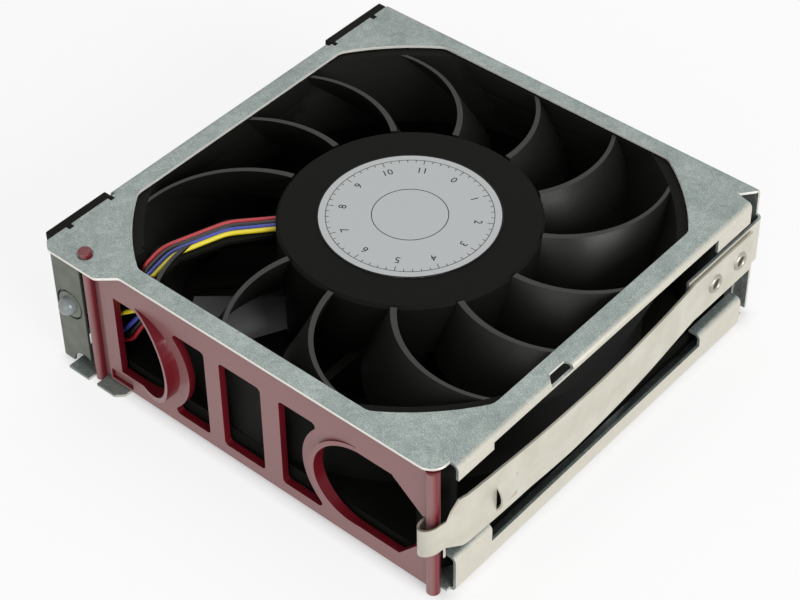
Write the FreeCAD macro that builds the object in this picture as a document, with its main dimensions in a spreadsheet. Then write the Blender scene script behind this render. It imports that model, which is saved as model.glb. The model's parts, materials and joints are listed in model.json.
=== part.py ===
import FreeCAD, Part
import math
import os
import Sketcher
from FreeCAD import Placement, Vector

# Hot-swap server fan module: a 120 mm axial fan in a bent sheet cage, with a pivoting pull handle
# on the front and a leaf latch on the right side. Millimetres. The origin is on the fan's axis at
# the underside of the cage. +Z is up, towards the fan's outlet, and the handle is on the -Y side.

doc = FreeCAD.newDocument("ServerFanModule")
sheet = doc.addObject("Spreadsheet::Sheet", "Sizes")

driving_sizes = [
    ("cage_half", 64.0, "half of the cage's width and of its depth"),
    ("cage_height", 42.5, "underside of the base to the top of the cage"),
    ("sheet_gauge", 0.8, "thickness of the bent sheet"),
    ("bend_inside", 1.0, "inside radius of each bend"),
    ("opening_half_x", 57.8, "half of the air opening's width"),
    ("opening_half_y", 58.6, "half of the air opening's depth"),
    ("opening_radius", 69.4, "radius of the air opening's corner arcs"),
    ("opening_blend", 4.0, "rounding where the opening's sides meet its arcs"),
    ("ear_reach", 68.0, "fan axis to the front of both pivot ears"),
    ("corner_front", 65.9, "front end of the top plate's left edge"),
    ("ear_reach_low", 66.4, "front edge of the base's ear"),
    ("ear_left", 59.4, "fan axis to the left end of the ear's front"),
    ("ear_right", 43.0, "fan axis to the right end of the ear's front"),
    ("ear_step", 4.6, "width of the slope from the ear back to the edge"),
    ("corner_tongue", 61.4, "fan axis to the right side of the front corner"),
    ("tongue_round", 4.5, "radius of the front right corner"),
    ("relief_back", 58.7, "fan axis to the back of the front right relief"),
    ("flange_front", 59.6, "fan axis to the front end of the right flange"),
    ("flange_rear", 57.6, "fan axis to the rear end of the right flange"),
    ("flange_front_drop", 4.8, "height of the right flange at its front"),
    ("flange_middle_drop", 2.5, "height of the right flange in the middle"),
    ("flange_rear_drop", 6.8, "height of the right flange at its rear"),
    ("flange_step_y", 46.0, "fan axis to the end of the flange's tall front"),
    ("wall_front", 42.4, "fan axis to the front end of the left wall"),
    ("wall_rear", 38.6, "fan axis to the rear end of the left wall"),
    ("rail_front_height", 11.8, "height of the right rail at its front"),
    ("rail_middle_height", 6.2, "height of the right rail in the middle"),
    ("rail_rear_height", 9.9, "height of the right rail at its rear"),
    ("rail_front_end", 46.0, "fan axis to the end of the rail's tall front"),
    ("rail_rear_start", 39.0, "fan axis to the start of the rail's tall rear"),
    ("rail_return", 3.6, "width of the rail's inward lips"),
    ("base_front", 60.5, "fan axis to the front edge of the base"),
    ("pivot_x", 51.0, "fan axis to the handle pivot, leftwards"),
    ("pivot_y", 63.2, "fan axis to the handle pivot, forwards"),
    ("pivot_radius", 1.75, "radius of the handle's pivot post"),
    ("pivot_clearance", 0.08, "radial clearance of the pivot post in its holes"),
    ("pivot_proud", 0.6, "height of the pivot post above the top ear"),
    ("post_thin", 1.4, "radius of the swing post below its pivot"),
    ("post_x", 59.7, "fan axis to the handle's latch post, rightwards"),
    ("post_y", 62.4, "fan axis to the handle's latch post, forwards"),
    ("post_radius", 1.7, "radius of the handle's latch post"),
    ("handle_front", 62.9, "fan axis to the handle's front face"),
    ("handle_wall", 2.0, "thickness of the handle plate"),
    ("handle_low", 1.4, "base to the lower edge of the handle"),
    ("handle_gap", 0.5, "top sheet to the upper edge of the handle"),
    ("grip_radius", 12.9, "radius of both finger holes"),
    ("grip_left_x", 35.3, "fan axis to the left finger hole's arc centre"),
    ("grip_right_x", 37.3, "fan axis to the right finger hole's arc centre"),
    ("grip_z", 19.4, "base to the centre of both finger holes"),
    ("grip_flat", 43.0, "fan axis to the flat side of the left hole"),
    ("lip_wall", 1.3, "thickness of the finger lips"),
    ("lip_left_reach", 4.4, "how far the left finger lip stands forward"),
    ("lip_right_reach", 1.4, "how far the right finger lip stands forward"),
    ("bar_gap", 3.3, "width of the handle between a lip and its slot"),
    ("slot_inner_left", 11.8, "fan axis to the left slot's straight side"),
    ("slot_inner_right", 12.7, "fan axis to the right slot's straight side"),
    ("slot_middle_half", 6.8, "half of the middle slot's width"),
    ("slot_low", 4.8, "base to the lower edge of the slots"),
    ("slot_top", 32.8, "base to the upper edge of the slots"),
    ("spring_gauge", 0.6, "thickness of the leaf latch"),
    ("spring_gap", 0.32, "clearance between the leaf and its bracket"),
    ("spring_bow", 2.2, "how far the leaf bows out in its middle"),
    ("spring_rear", 58.4, "fan axis to the rear end of the leaf"),
    ("spring_low", 20.0, "base to the leaf's lower edge at its tab"),
    ("spring_top", 32.9, "base to the leaf's upper edge at its tab"),
    ("hook_low", 15.4, "base to the lower edge of the hook's end"),
    ("hook_top", 24.1, "base to the upper edge of the hook's end"),
    ("hook_rise", 2.6, "how much higher the hook is where it leaves the leaf"),
    ("hook_radius", 2.4, "inside radius of the hook"),
    ("hook_lead", 1.5, "latch post to the hook's centre, forwards"),
    ("eyelet_front", 42.0, "fan axis to the front eyelet"),
    ("eyelet_rear", 53.0, "fan axis to the rear eyelet"),
    ("eyelet_z", 26.6, "base to the eyelets' axes"),
    ("eyelet_bore", 1.2, "inside radius of an eyelet"),
    ("eyelet_barrel", 1.7, "outside radius of an eyelet's barrel"),
    ("eyelet_flange", 2.7, "radius of an eyelet's rolled ends"),
    ("guide_outside", 64.6, "fan axis to the guide strips' outer faces"),
    ("guide_inside", 62.0, "fan axis to the guide strips' inner faces"),
    ("guide_front_y", 63.9, "fan axis to the front strip's front end"),
    ("guide_front_end", 43.6, "fan axis to the front strip's rear end"),
    ("guide_rear_start", 39.8, "fan axis to the rear strip's front end"),
    ("guide_rear_end", 62.6, "fan axis to the rear strip's rear end"),
    ("guide_height", 3.4, "height of the guide strips"),
    ("fan_half", 60.0, "half of the fan frame's side"),
    ("fan_depth", 38.0, "height of the fan frame"),
    ("fan_gap", 0.3, "fan frame to the top sheet"),
    ("fan_corner", 6.0, "corner radius of the fan frame"),
    ("hole_half", 52.5, "half of the fan's screw pitch"),
    ("hole_radius", 2.2, "radius of the fan's screw holes"),
    ("boss_radius", 4.8, "radius of the fan's corner tubes"),
    ("bore_radius", 58.0, "radius of the fan's air bore"),
    ("low_flange", 5.0, "thickness of the fan's inlet flange"),
    ("top_flange", 7.0, "thickness of the fan's outlet flange"),
    ("flare_radius", 66.6, "radius of the flared outlet corners"),
    ("flare_half", 58.4, "half width of the outlet between its side walls"),
    ("stator_radius", 33.8, "radius of the stationary hub"),
    ("stator_height", 15.2, "height of the stationary hub and its vanes"),
    ("hub_wall", 1.8, "wall of the moulded hubs"),
    ("vane_gauge", 1.7, "thickness of a guide vane"),
    ("vane_turn", 11.0, "how far a vane leans round the axis, in degrees"),
    ("vane_first", 26.7, "bearing of the first guide vane, in degrees"),
    ("label_radius", 23.3, "radius of the bare label disc"),
    ("label_gauge", 0.2, "thickness of the label disc"),
    ("rotor_radius", 32.4, "radius of the impeller hub"),
    ("rotor_height", 20.6, "height of the impeller hub"),
    ("tip_gap", 0.9, "blade tips to the air bore"),
    ("blade_gauge", 1.9, "thickness of an impeller blade"),
    ("blade_tip_reach", 24, "half width of a blade at its tip"),
    ("blade_root_reach", 14, "half width of a blade at its root"),
    ("blade_height", 17.0, "axial height of an impeller blade"),
    ("yoke_wall", 1.4, "wall of the steel yoke"),
    ("magnet_wall", 3.0, "wall of the magnet ring"),
    ("air_gap", 0.6, "magnet ring to the motor poles"),
    ("core_height", 9.0, "height of the lamination stack"),
    ("tube_bore", 7.0, "inside radius of the bearing tube"),
    ("tube_wall", 1.5, "wall of the bearing tube"),
    ("bearing_width", 5.0, "width of a ball bearing"),
    ("shaft_radius", 2.5, "radius of the shaft"),
    ("race_radius", 3.8, "outside radius of the bearings' inner rings"),
    ("running_gap", 0.08, "radial running clearance inside the bearings"),
    ("lead_radius", 0.6, "radius of a fan lead"),
    ("lead_pitch", 1.35, "spacing of the fan leads"),
    ("lead_hub_bearing", 215.4, "bearing where the red lead leaves the hub, in degrees"),
    ("lead_drop_x", 39.4, "fan axis to where the red lead turns down, leftwards"),
    ("led_x", 59.0, "fan axis to the indicator lamp, leftwards"),
    ("led_z", 21.2, "base to the indicator lamp"),
    ("led_hole", 4.5, "radius of the lamp's hole"),
    ("led_radius", 2.5, "radius of the lamp's lens"),
    ("panel_right", 53.7, "fan axis to the lamp panel's right edge"),
    ("panel_left", 65, "the lamp panel's left face"),
    ("panel_return", 43.6, "fan axis to the end of the panel's side"),
    ("connector_x", 46.0, "fan axis to the middle of the connector, leftwards"),
    ("connector_z", 17.0, "base to the middle of the connector"),
    ("connector_half", 12.0, "half of the connector's width"),
    ("connector_height", 10.0, "height of the connector"),
    ("connector_proud", 5.0, "how far the connector stands out of the rear wall"),
]


class Size:
    """A number kept together with the spreadsheet expression that it comes from."""

    def __init__(self, value, text=None):
        self.value = float(value)
        self.text = text if text else repr(float(value))

    @staticmethod
    def of(other):
        return other if isinstance(other, Size) else Size(other)

    def __add__(self, other):
        other = Size.of(other)
        return Size(self.value + other.value, "(%s + %s)" % (self.text, other.text))

    def __sub__(self, other):
        other = Size.of(other)
        return Size(self.value - other.value, "(%s - %s)" % (self.text, other.text))

    def __mul__(self, other):
        other = Size.of(other)
        return Size(self.value * other.value, "(%s * %s)" % (self.text, other.text))

    def __truediv__(self, other):
        other = Size.of(other)
        return Size(self.value / other.value, "(%s / %s)" % (self.text, other.text))

    def __neg__(self):
        return self * -1

    __radd__ = __add__
    __rmul__ = __mul__

    def __rsub__(self, other):
        return Size.of(other) - self

    def root(self):
        return Size(math.sqrt(self.value), "sqrt(%s)" % self.text)

    def cosine(self):
        return Size(math.cos(math.radians(self.value)), "cos(%s)" % self.text)

    def sine(self):
        return Size(math.sin(math.radians(self.value)), "sin(%s)" % self.text)


size = {}
for row, (alias, number, meaning) in enumerate(driving_sizes, start=1):
    sheet.set("A%d" % row, meaning)
    sheet.set("B%d" % row, str(number))
    sheet.setAlias("B%d" % row, alias)
    size[alias] = Size(number, "Sizes." + alias)
doc.recompute()

# Heights and faces that several pieces share.
gauge = size["sheet_gauge"]
plate_top = size["cage_height"]
plate_under = plate_top - gauge
fan_top = plate_under - size["fan_gap"]
fan_low = fan_top - size["fan_depth"]
stator_low = fan_top - size["stator_height"]
flange_floor = fan_low + size["low_flange"]
flange_roof = fan_top - size["top_flange"]
bend_outside = size["bend_inside"] + gauge
wall_inside = size["cage_half"] - gauge
leaf_face = size["cage_half"] + size["spring_gap"]


# ---------------------------------------------------------------- sketch and feature helpers

def bind(item, name, value):
    item.setExpression(name, Size.of(value).text)


def add_body(name):
    body = doc.addObject("PartDesign::Body", name)
    body.Label = name
    body.AllowCompound = True
    return body


def origin_item(body, role):
    return next(item for item in body.Origin.OriginFeatures if item.Role == role)


def add_sketch(body, plane, offset=0):
    sketch = body.newObject("Sketcher::SketchObject", "Profile")
    sketch.AttachmentSupport = (origin_item(body, plane), [""])
    sketch.MapMode = "FlatFace"
    bind(sketch, "AttachmentOffset.Base.z", offset)
    return sketch


def pin_point(sketch, item, end, x, y):
    """Holds one point of a sketch at x and y from the sketch's origin."""
    for kind, value in (("DistanceX", x), ("DistanceY", y)):
        value = Size.of(value)
        index = sketch.addConstraint(Sketcher.Constraint(kind, -1, 1, item, end, value.value))
        bind(sketch, "Constraints[%d]" % index, value)


def flat(point):
    return Vector(Size.of(point[0]).value, Size.of(point[1]).value, 0)


def arc_middle(start, finish, radius):
    """The middle of the short arc; a positive radius bulges to the right of the way travelled."""
    chord = finish - start
    half = chord.Length / 2
    rise = abs(radius) - math.sqrt(max(radius * radius - half * half, 0))
    side = Vector(chord.y, -chord.x, 0).normalize() * math.copysign(rise, radius)
    return start + chord * 0.5 + side


def outline(sketch, corners, arcs=None):
    """A closed outline through the corners; arcs gives the radius of each edge that is an arc."""
    arcs = arcs or {}
    first = sketch.GeometryCount
    count = len(corners)
    ends = []
    for index in range(count):
        start = flat(corners[index])
        finish = flat(corners[(index + 1) % count])
        if index in arcs:
            middle = arc_middle(start, finish, Size.of(arcs[index]).value)
            item = sketch.addGeometry(Part.Arc(start, middle, finish))
            first_end = (sketch.getPoint(item, 1) - start).Length
            second_end = (sketch.getPoint(item, 2) - start).Length
            backwards = first_end > second_end
            ends.append((2, 1) if backwards else (1, 2))
        else:
            sketch.addGeometry(Part.LineSegment(start, finish))
            ends.append((1, 2))
    for index in range(count):
        following = (index + 1) % count
        sketch.addConstraint(Sketcher.Constraint(
            "Coincident", first + index, ends[index][1], first + following, ends[following][0]))
        pin_point(sketch, first + index, ends[index][0], *corners[index])
    for index, radius in arcs.items():
        radius = Size.of(radius)
        radius = radius if radius.value > 0 else -radius
        number = sketch.addConstraint(Sketcher.Constraint("Radius", first + index, radius.value))
        bind(sketch, "Constraints[%d]" % number, radius)


def box_outline(sketch, left, low, right, high):
    outline(sketch, [(left, low), (right, low), (right, high), (left, high)])


def circle(sketch, x, y, radius):
    radius = Size.of(radius)
    item = sketch.addGeometry(Part.Circle(flat((x, y)), Vector(0, 0, 1), radius.value))
    pin_point(sketch, item, 3, x, y)
    number = sketch.addConstraint(Sketcher.Constraint("Radius", item, radius.value))
    bind(sketch, "Constraints[%d]" % number, radius)


def prism(body, plane, low, high, draw, cut=False):
    """Adds, or cuts away, what draw sketches on a plane, between two places along its normal."""
    low = Size.of(low)
    high = Size.of(high)
    offset = -high if plane == "XZ_Plane" else low
    sketch = add_sketch(body, plane, offset)
    draw(sketch)
    feature = body.newObject("PartDesign::Pocket" if cut else "PartDesign::Pad", "Prism")
    feature.Profile = sketch
    bind(feature, "Length", high - low)
    feature.Reversed = cut
    body.Tip = feature
    return feature


def turned(body, draw, cut=False, plane="XZ_Plane", axis="Z_Axis"):
    """Adds, or cuts away, what draw sketches beside an axis, turned once round it."""
    sketch = add_sketch(body, plane)
    draw(sketch)
    feature = body.newObject("PartDesign::Groove" if cut else "PartDesign::Revolution", "Turned")
    feature.Profile = sketch
    feature.ReferenceAxis = (origin_item(body, axis), [""])
    feature.Angle = 360
    body.Tip = feature
    return feature


def ring_pattern(body, features, count):
    pattern = body.newObject("PartDesign::PolarPattern", "Ring")
    pattern.Originals = features
    pattern.Axis = (origin_item(body, "Z_Axis"), [""])
    pattern.Angle = 360
    pattern.Occurrences = count
    body.Tip = pattern
    return pattern


def round_edges(body, radius, wanted):
    """Rounds the edges of the body so far that wanted picks out."""
    doc.recompute()
    base = body.Tip
    names = ["Edge%d" % (index + 1) for index, edge in enumerate(base.Shape.Edges) if wanted(edge)]
    fillet = body.newObject("PartDesign::Fillet", "Rounding")
    fillet.Base = (base, names)
    bind(fillet, "Radius", radius)
    body.Tip = fillet
    return fillet


def runs_along(edge, axis):
    """True for a straight edge along the axis."""
    if len(edge.Vertexes) != 2:
        return False
    way = edge.Vertexes[1].Point - edge.Vertexes[0].Point
    return way.Length > 1e-6 and abs(abs(way.dot(axis)) - way.Length) < 1e-6


up = Vector(0, 0, 1)
backwards = Vector(0, 1, 0)


# ---------------------------------------------------------------- the cage

def draw_opening(sketch):
    """The air opening: four straight sides whose ends run into arcs centred on the fan's axis."""
    half_x = size["opening_half_x"]
    half_y = size["opening_half_y"]
    radius = size["opening_radius"]
    along_x = (radius * radius - half_y * half_y).root()
    along_y = (radius * radius - half_x * half_x).root()
    outline(sketch, [
        (along_x, -half_y), (half_x, -along_y),
        (half_x, along_y), (along_x, half_y),
        (-along_x, half_y), (-half_x, along_y),
        (-half_x, -along_y), (-along_x, -half_y),
    ], {0: radius, 2: radius, 4: radius, 6: radius})


def round_opening(body, low, high):
    """Blends the corners of the air opening."""
    reach = size["opening_half_y"].value + 1

    def wanted(edge):
        middle = edge.CenterOfMass
        around = math.hypot(middle.x, middle.y)
        inside = abs(middle.x) < reach and abs(middle.y) < reach
        on_arc = abs(around - size["opening_radius"].value) < 0.01
        return runs_along(edge, up) and inside and on_arc and low < middle.z < high

    round_edges(body, size["opening_blend"], wanted)


def draw_bent_edge(sketch, far, level, end, side):
    """A wall of the sheet that leaves a plate through a bend. side is +1 or -1 across the plate;
    level is the plate's outer face and end is where the wall stops."""
    below = 1 if level.value > Size.of(end).value else -1
    start = far - bend_outside
    turn = level - bend_outside * below
    outline(sketch, [
        (start * side, level), (far * side, turn), (far * side, end),
        ((far - gauge) * side, end), ((far - gauge) * side, turn), (start * side, level - gauge * below),
    ], {0: bend_outside * -side * below, 4: size["bend_inside"] * side * below})


def make_top_sheet():
    """Top plate with the air opening, the pivot ear, the guide strips' recesses and three walls."""
    body = add_body("top_sheet")
    half = size["cage_half"]
    bend = half - bend_outside
    recess = size["guide_inside"]

    def plate(sketch):
        outline(sketch, [
            (-recess, -size["corner_front"]),
            (-size["ear_left"], -size["ear_reach"]),
            (-size["ear_right"], -size["ear_reach"]),
            (-size["ear_right"] + size["ear_step"], -half),
            (size["corner_tongue"] - size["tongue_round"], -half),
            (size["corner_tongue"], -half + size["tongue_round"]),
            (size["corner_tongue"], -size["relief_back"]),
            (bend, -size["relief_back"]),
            (bend, size["flange_rear"]),
            (bend - 3, size["flange_rear"] + 0.8),
            (bend, bend),
            (-recess, bend),
            (-recess, size["wall_rear"]),
            (-bend, size["wall_rear"]),
            (-bend, -size["wall_front"]),
            (-recess, -size["wall_front"]),
        ], {4: size["tongue_round"]})

    prism(body, "XY_Plane", plate_under, plate_top, plate)

    def ear_corner(edge):
        middle = edge.CenterOfMass
        return runs_along(edge, up) and middle.y < -half.value + 0.1 and -60 < middle.x < -30

    round_edges(body, 2, ear_corner)
    prism(body, "XY_Plane", plate_under, plate_top, draw_opening, cut=True)
    round_opening(body, plate_under.value, plate_top.value)

    def left_wall(sketch):
        draw_bent_edge(sketch, half, plate_top, gauge + size["bend_inside"] + 0.5, -1)

    prism(body, "XZ_Plane", -size["wall_front"], size["wall_rear"], left_wall)

    def lower_left_wall(sketch):
        box_outline(sketch, -half, gauge + size["bend_inside"] + 0.5,
                    -half + gauge, plate_top - size["guide_height"])

    prism(body, "XZ_Plane", -size["wall_front"], bend, lower_left_wall)

    def rear_wall(sketch):
        draw_bent_edge(sketch, half, plate_top, gauge + 0.3, 1)

    prism(body, "YZ_Plane", -recess, bend, rear_wall)

    drops = [
        (-size["flange_front"] + 0.9, -size["flange_step_y"], size["flange_front_drop"]),
        (-size["flange_step_y"], 43, size["flange_middle_drop"]),
        (43, size["flange_rear"], size["flange_rear_drop"]),
    ]
    for start, finish, drop in drops:
        def right_flange(sketch, drop=drop):
            draw_bent_edge(sketch, half, plate_top, plate_top - drop, 1)

        prism(body, "XZ_Plane", start, finish, right_flange)

    def bracket(sketch):
        outline(sketch, [
            (bend, half), (half, bend), (half, size["eyelet_front"] - 11),
            (half - gauge, size["eyelet_front"] - 11), (half - gauge, bend), (bend, half - gauge),
        ], {0: bend_outside * -1, 4: size["bend_inside"]})

    prism(body, "XY_Plane", size["spring_low"], size["spring_top"] + 1, bracket)

    def eyelet_holes(sketch):
        for place in (size["eyelet_front"], size["eyelet_rear"]):
            circle(sketch, place, size["eyelet_z"], size["eyelet_barrel"] + size["spring_gap"])

    prism(body, "YZ_Plane", half - gauge - 1, half + 1, eyelet_holes, cut=True)

    def pivot_hole(sketch):
        circle(sketch, -size["pivot_x"], -size["pivot_y"], size["pivot_radius"] + size["pivot_clearance"])

    prism(body, "XY_Plane", plate_under, plate_top, pivot_hole, cut=True)

    def pivot_countersink(sketch):
        circle(sketch, -size["pivot_x"], -size["pivot_y"], size["pivot_radius"] + 0.45)

    prism(body, "XY_Plane", plate_top - gauge * 0.5, plate_top, pivot_countersink, cut=True)

    def bend_slot(sketch):
        outline(sketch, [
            (half - 2.4, -22.9), (half - 0.6, -24.6), (half + 1, -24.6),
            (half + 1, -16.6), (half - 0.6, -16.6), (half - 2.4, -17.4),
        ])

    prism(body, "XY_Plane", plate_top - 1.7, plate_top + 0.5, bend_slot, cut=True)

    def strip_notches(sketch):
        for low, high in strip_tongues:
            box_outline(sketch, -recess - 1, low - tongue_play, -recess + tongue_reach + tongue_play,
                        high + tongue_play)

    prism(body, "XY_Plane", plate_under, plate_top, strip_notches, cut=True)

    def connector_window(sketch):
        draw_connector_nose(sketch, tongue_play)

    prism(body, "XZ_Plane", half - gauge - 0.5, half + 0.5, connector_window, cut=True)
    drill_rivet_holes(body)
    return body


# The guide strips hook into the top plate by these tongues, given by their two ends along Y.
tongue_reach = Size(1.2)
tongue_play = Size(0.1)
strip_tongues = [
    (-size["guide_front_end"] - 1.3, -size["guide_front_end"]),
    (-size["guide_front_end"] - 15.6, -size["guide_front_end"] - 14),
    (size["guide_rear_start"], size["guide_rear_start"] + 1.3),
    (size["guide_rear_start"] + 16, size["guide_rear_start"] + 17.6),
]

# Blind rivets between the top sheet's walls and the base's flanges: place along the wall.
rivet_radius = Size(1.6)
rivet_z = Size(6)
left_rivets = [-32, 30]
rear_rivets = [-15, 45]


def drill_rivet_holes(body):
    def through_left(sketch):
        for place in left_rivets:
            circle(sketch, place, rivet_z, rivet_radius)

    def through_rear(sketch):
        for place in rear_rivets:
            circle(sketch, place, rivet_z, rivet_radius)

    half = size["cage_half"]
    prism(body, "YZ_Plane", -half - 0.5, -half + gauge * 2 + 0.5, through_left, cut=True)
    prism(body, "XZ_Plane", half - gauge * 2 - 0.5, half + 0.5, through_rear, cut=True)


def make_base_sheet():
    """Bottom plate with its air opening, the lower pivot ear, two low flanges and the right rail."""
    body = add_body("base_sheet")
    half = size["cage_half"]
    rail_bend = half - bend_outside
    inner_bend = half - gauge - bend_outside

    def plate(sketch):
        outline(sketch, [
            (-inner_bend, -size["base_front"]),
            (-size["ear_left"] - 0.4, -size["base_front"]),
            (-size["ear_left"] - 0.4, -size["ear_reach_low"]),
            (-size["ear_right"], -size["ear_reach_low"]),
            (-size["ear_right"] + 2, -size["ear_reach_low"] + 2),
            (-size["ear_right"] + 2, -size["base_front"]),
            (rail_bend, -size["base_front"]),
            (rail_bend, inner_bend),
            (-inner_bend, inner_bend),
        ])

    prism(body, "XY_Plane", 0, gauge, plate)
    prism(body, "XY_Plane", 0, gauge, draw_opening, cut=True)
    round_opening(body, 0, gauge.value)

    def left_flange(sketch):
        draw_bent_edge(sketch, half - gauge, Size(0), rivet_z + 4, -1)

    prism(body, "XZ_Plane", -size["wall_front"] + 2, size["wall_rear"] - 2, left_flange)

    def rear_flange(sketch):
        draw_bent_edge(sketch, half - gauge, Size(0), rivet_z + 4, 1)

    prism(body, "YZ_Plane", -30, rail_bend - 4, rear_flange)

    rails = [
        (-size["base_front"] + 1.1, -size["rail_front_end"], size["rail_front_height"], True),
        (-size["rail_front_end"], size["rail_rear_start"], size["rail_middle_height"], False),
        (size["rail_rear_start"], size["flange_rear"], size["rail_rear_height"], True),
    ]
    for start, finish, height, returned in rails:
        def rail_wall(sketch, height=height):
            draw_bent_edge(sketch, half, Size(0), height - (bend_outside if returned else 0), 1)

        def rail_lip(sketch, height=height):
            turn = height - bend_outside
            inner = half - size["rail_return"]
            outline(sketch, [
                (half, turn), (half - bend_outside, height), (inner, height),
                (inner, height - gauge), (half - bend_outside, height - gauge), (half - gauge, turn),
            ], {0: bend_outside * 1, 4: size["bend_inside"] * -1})

        prism(body, "XZ_Plane", start, finish, rail_wall)
        if returned:
            prism(body, "XZ_Plane", start, finish, rail_lip)

    def pivot_slot(sketch):
        play = size["post_thin"] + size["pivot_clearance"]
        left = -size["pivot_x"] - play
        right = -size["pivot_x"] + play
        outline(sketch, [
            (left, -size["ear_reach"]), (right, -size["ear_reach"]), (right, -size["pivot_y"]),
            (-size["pivot_x"], -size["pivot_y"] + play), (left, -size["pivot_y"]),
        ], {2: play, 3: play})

    prism(body, "XY_Plane", 0, gauge, pivot_slot, cut=True)
    drill_rivet_holes(body)
    return body


def make_sheet_rivets():
    """Four blind rivets that join the two sheets, as separate solids."""
    body = add_body("sheet_rivets")
    half = size["cage_half"]
    head = rivet_radius + 1.3
    tail = rivet_radius + 0.7
    stages = [
        (half, half + 0.7, head),
        (half - gauge * 2, half, rivet_radius),
        (half - gauge * 2 - 0.8, half - gauge * 2, tail),
    ]
    for low, high, radius in stages:
        def left_stage(sketch, radius=radius):
            for place in left_rivets:
                circle(sketch, place, rivet_z, radius)

        def rear_stage(sketch, radius=radius):
            for place in rear_rivets:
                circle(sketch, place, rivet_z, radius)

        prism(body, "YZ_Plane", -high, -low, left_stage)
        prism(body, "XZ_Plane", low, high, rear_stage)
    return body


def make_guide_strip(name, low, high, tongues):
    """A black plastic strip along the cage's left upper edge, hooked into the top plate."""
    body = add_body(name)
    inside = size["guide_inside"]

    def bar(sketch):
        box_outline(sketch, -size["guide_outside"], low, -inside, high)

    prism(body, "XY_Plane", plate_top - size["guide_height"], plate_top, bar)

    def tongue(sketch):
        for start, finish in tongues:
            box_outline(sketch, -inside - 0.5, start, -inside + tongue_reach, finish)

    prism(body, "XY_Plane", plate_under, plate_top, tongue)
    return body


def make_led_panel():
    """A separate bent sheet round the front left corner, with the lamp's hole."""
    body = add_body("led_panel")
    half = size["cage_half"]
    left = -size["panel_left"]
    strip_low = plate_top - size["guide_height"]

    def corner(sketch):
        outline(sketch, [
            (-size["panel_right"], -half), (left + bend_outside, -half), (left, -half + bend_outside),
            (left, -size["panel_return"]), (left + gauge, -size["panel_return"]),
            (left + gauge, -half + bend_outside), (left + bend_outside, -half + gauge),
            (-size["panel_right"], -half + gauge),
        ], {1: bend_outside * -1, 5: size["bend_inside"] * 1})

    prism(body, "XY_Plane", gauge, strip_low, corner)

    def upper_front(sketch):
        box_outline(sketch, -size["guide_inside"], strip_low, -size["panel_right"], plate_under)

    prism(body, "XZ_Plane", -half, -half + gauge, upper_front)

    def lamp_hole(sketch):
        circle(sketch, -size["led_x"], size["led_z"], size["led_hole"])

    def foot_arch(sketch):
        circle(sketch, -size["panel_right"] - 2.3, gauge, 4.2)

    prism(body, "XZ_Plane", -half - 0.5, -half + gauge + 0.5, lamp_hole, cut=True)
    prism(body, "XZ_Plane", -half - 0.5, -half + gauge + 0.5, foot_arch, cut=True)
    return body


# ---------------------------------------------------------------- the fan's frame and motor

def corner_points(reach):
    return [(reach * side_x, reach * side_y) for side_x in (-1, 1) for side_y in (-1, 1)]


def rounded_square(sketch, half, radius):
    near = half - radius
    outline(sketch, [
        (-near, -half), (near, -half), (half, -near), (half, near),
        (near, half), (-near, half), (-half, near), (-half, -near),
    ], {1: radius, 3: radius, 5: radius, 7: radius})


def polar(radius, bearing):
    return (radius * bearing.cosine(), radius * bearing.sine())


# Each guide vane is an arc that leaves the hub almost radially and leans further round outwards.
vane_arc = Size(29.9)
vane_reach = Size(68.6)
vane_sweep = Size(25.2)
vane_root = size["stator_radius"] - size["hub_wall"] + 0.4


def draw_vane(sketch, turn):
    """A guide vane's plan, turned round the axis by turn degrees."""
    bearing = size["vane_first"] + turn
    half_root = size["vane_gauge"] * (90 / math.pi) / vane_root
    half_tip = size["vane_gauge"] * (90 / math.pi) / vane_reach * 1.35
    outline(sketch, [
        polar(vane_root, bearing - half_root),
        polar(vane_reach, bearing + vane_sweep - half_tip),
        polar(vane_reach, bearing + vane_sweep + half_tip),
        polar(vane_root, bearing + half_root),
    ], {0: vane_arc + size["vane_gauge"] / 2, 2: -(vane_arc - size["vane_gauge"] / 2)})


flare_low = fan_low + 21.8


def make_flange_block(name, low, high):
    """A square slab of the fan's frame with the air bore through it."""
    body = add_body(name)
    duct = size["bore_radius"]
    flare = size["flare_radius"]

    def square(sketch):
        rounded_square(sketch, size["fan_half"], size["fan_corner"])

    prism(body, "XY_Plane", low, high, square)

    def bore(sketch):
        outline(sketch, [
            (0, fan_low - 1), (duct + 1.2, fan_low - 1), (duct + 1.2, fan_low), (duct, fan_low + 2.5),
            (duct, flare_low), (flare, fan_top), (flare, fan_top + 1), (0, fan_top + 1),
        ])

    turned(body, bore, cut=True)
    return body


def add_side_walls(body, low, high):
    """Add the flat walls that close the flared bore on the frame's four sides."""
    flare = size["flare_radius"]
    half = size["fan_half"]
    side_wall = (flare * flare - size["flare_half"] * size["flare_half"]).root() + 1

    def side_walls(sketch):
        for side in (-1, 1):
            near = size["flare_half"] * side
            far = half * side
            outline(sketch, [(near, -side_wall), (far, -side_wall), (far, side_wall), (near, side_wall)])
            outline(sketch, [(-side_wall, near), (side_wall, near), (side_wall, far), (-side_wall, far)])

    prism(body, "XY_Plane", low, high, side_walls)


def cut_screw_holes(body):
    def screw_holes(sketch):
        for x, y in corner_points(size["hole_half"]):
            circle(sketch, x, y, size["hole_radius"])

    prism(body, "XY_Plane", fan_low - 1, fan_top + 1, screw_holes, cut=True)


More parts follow.
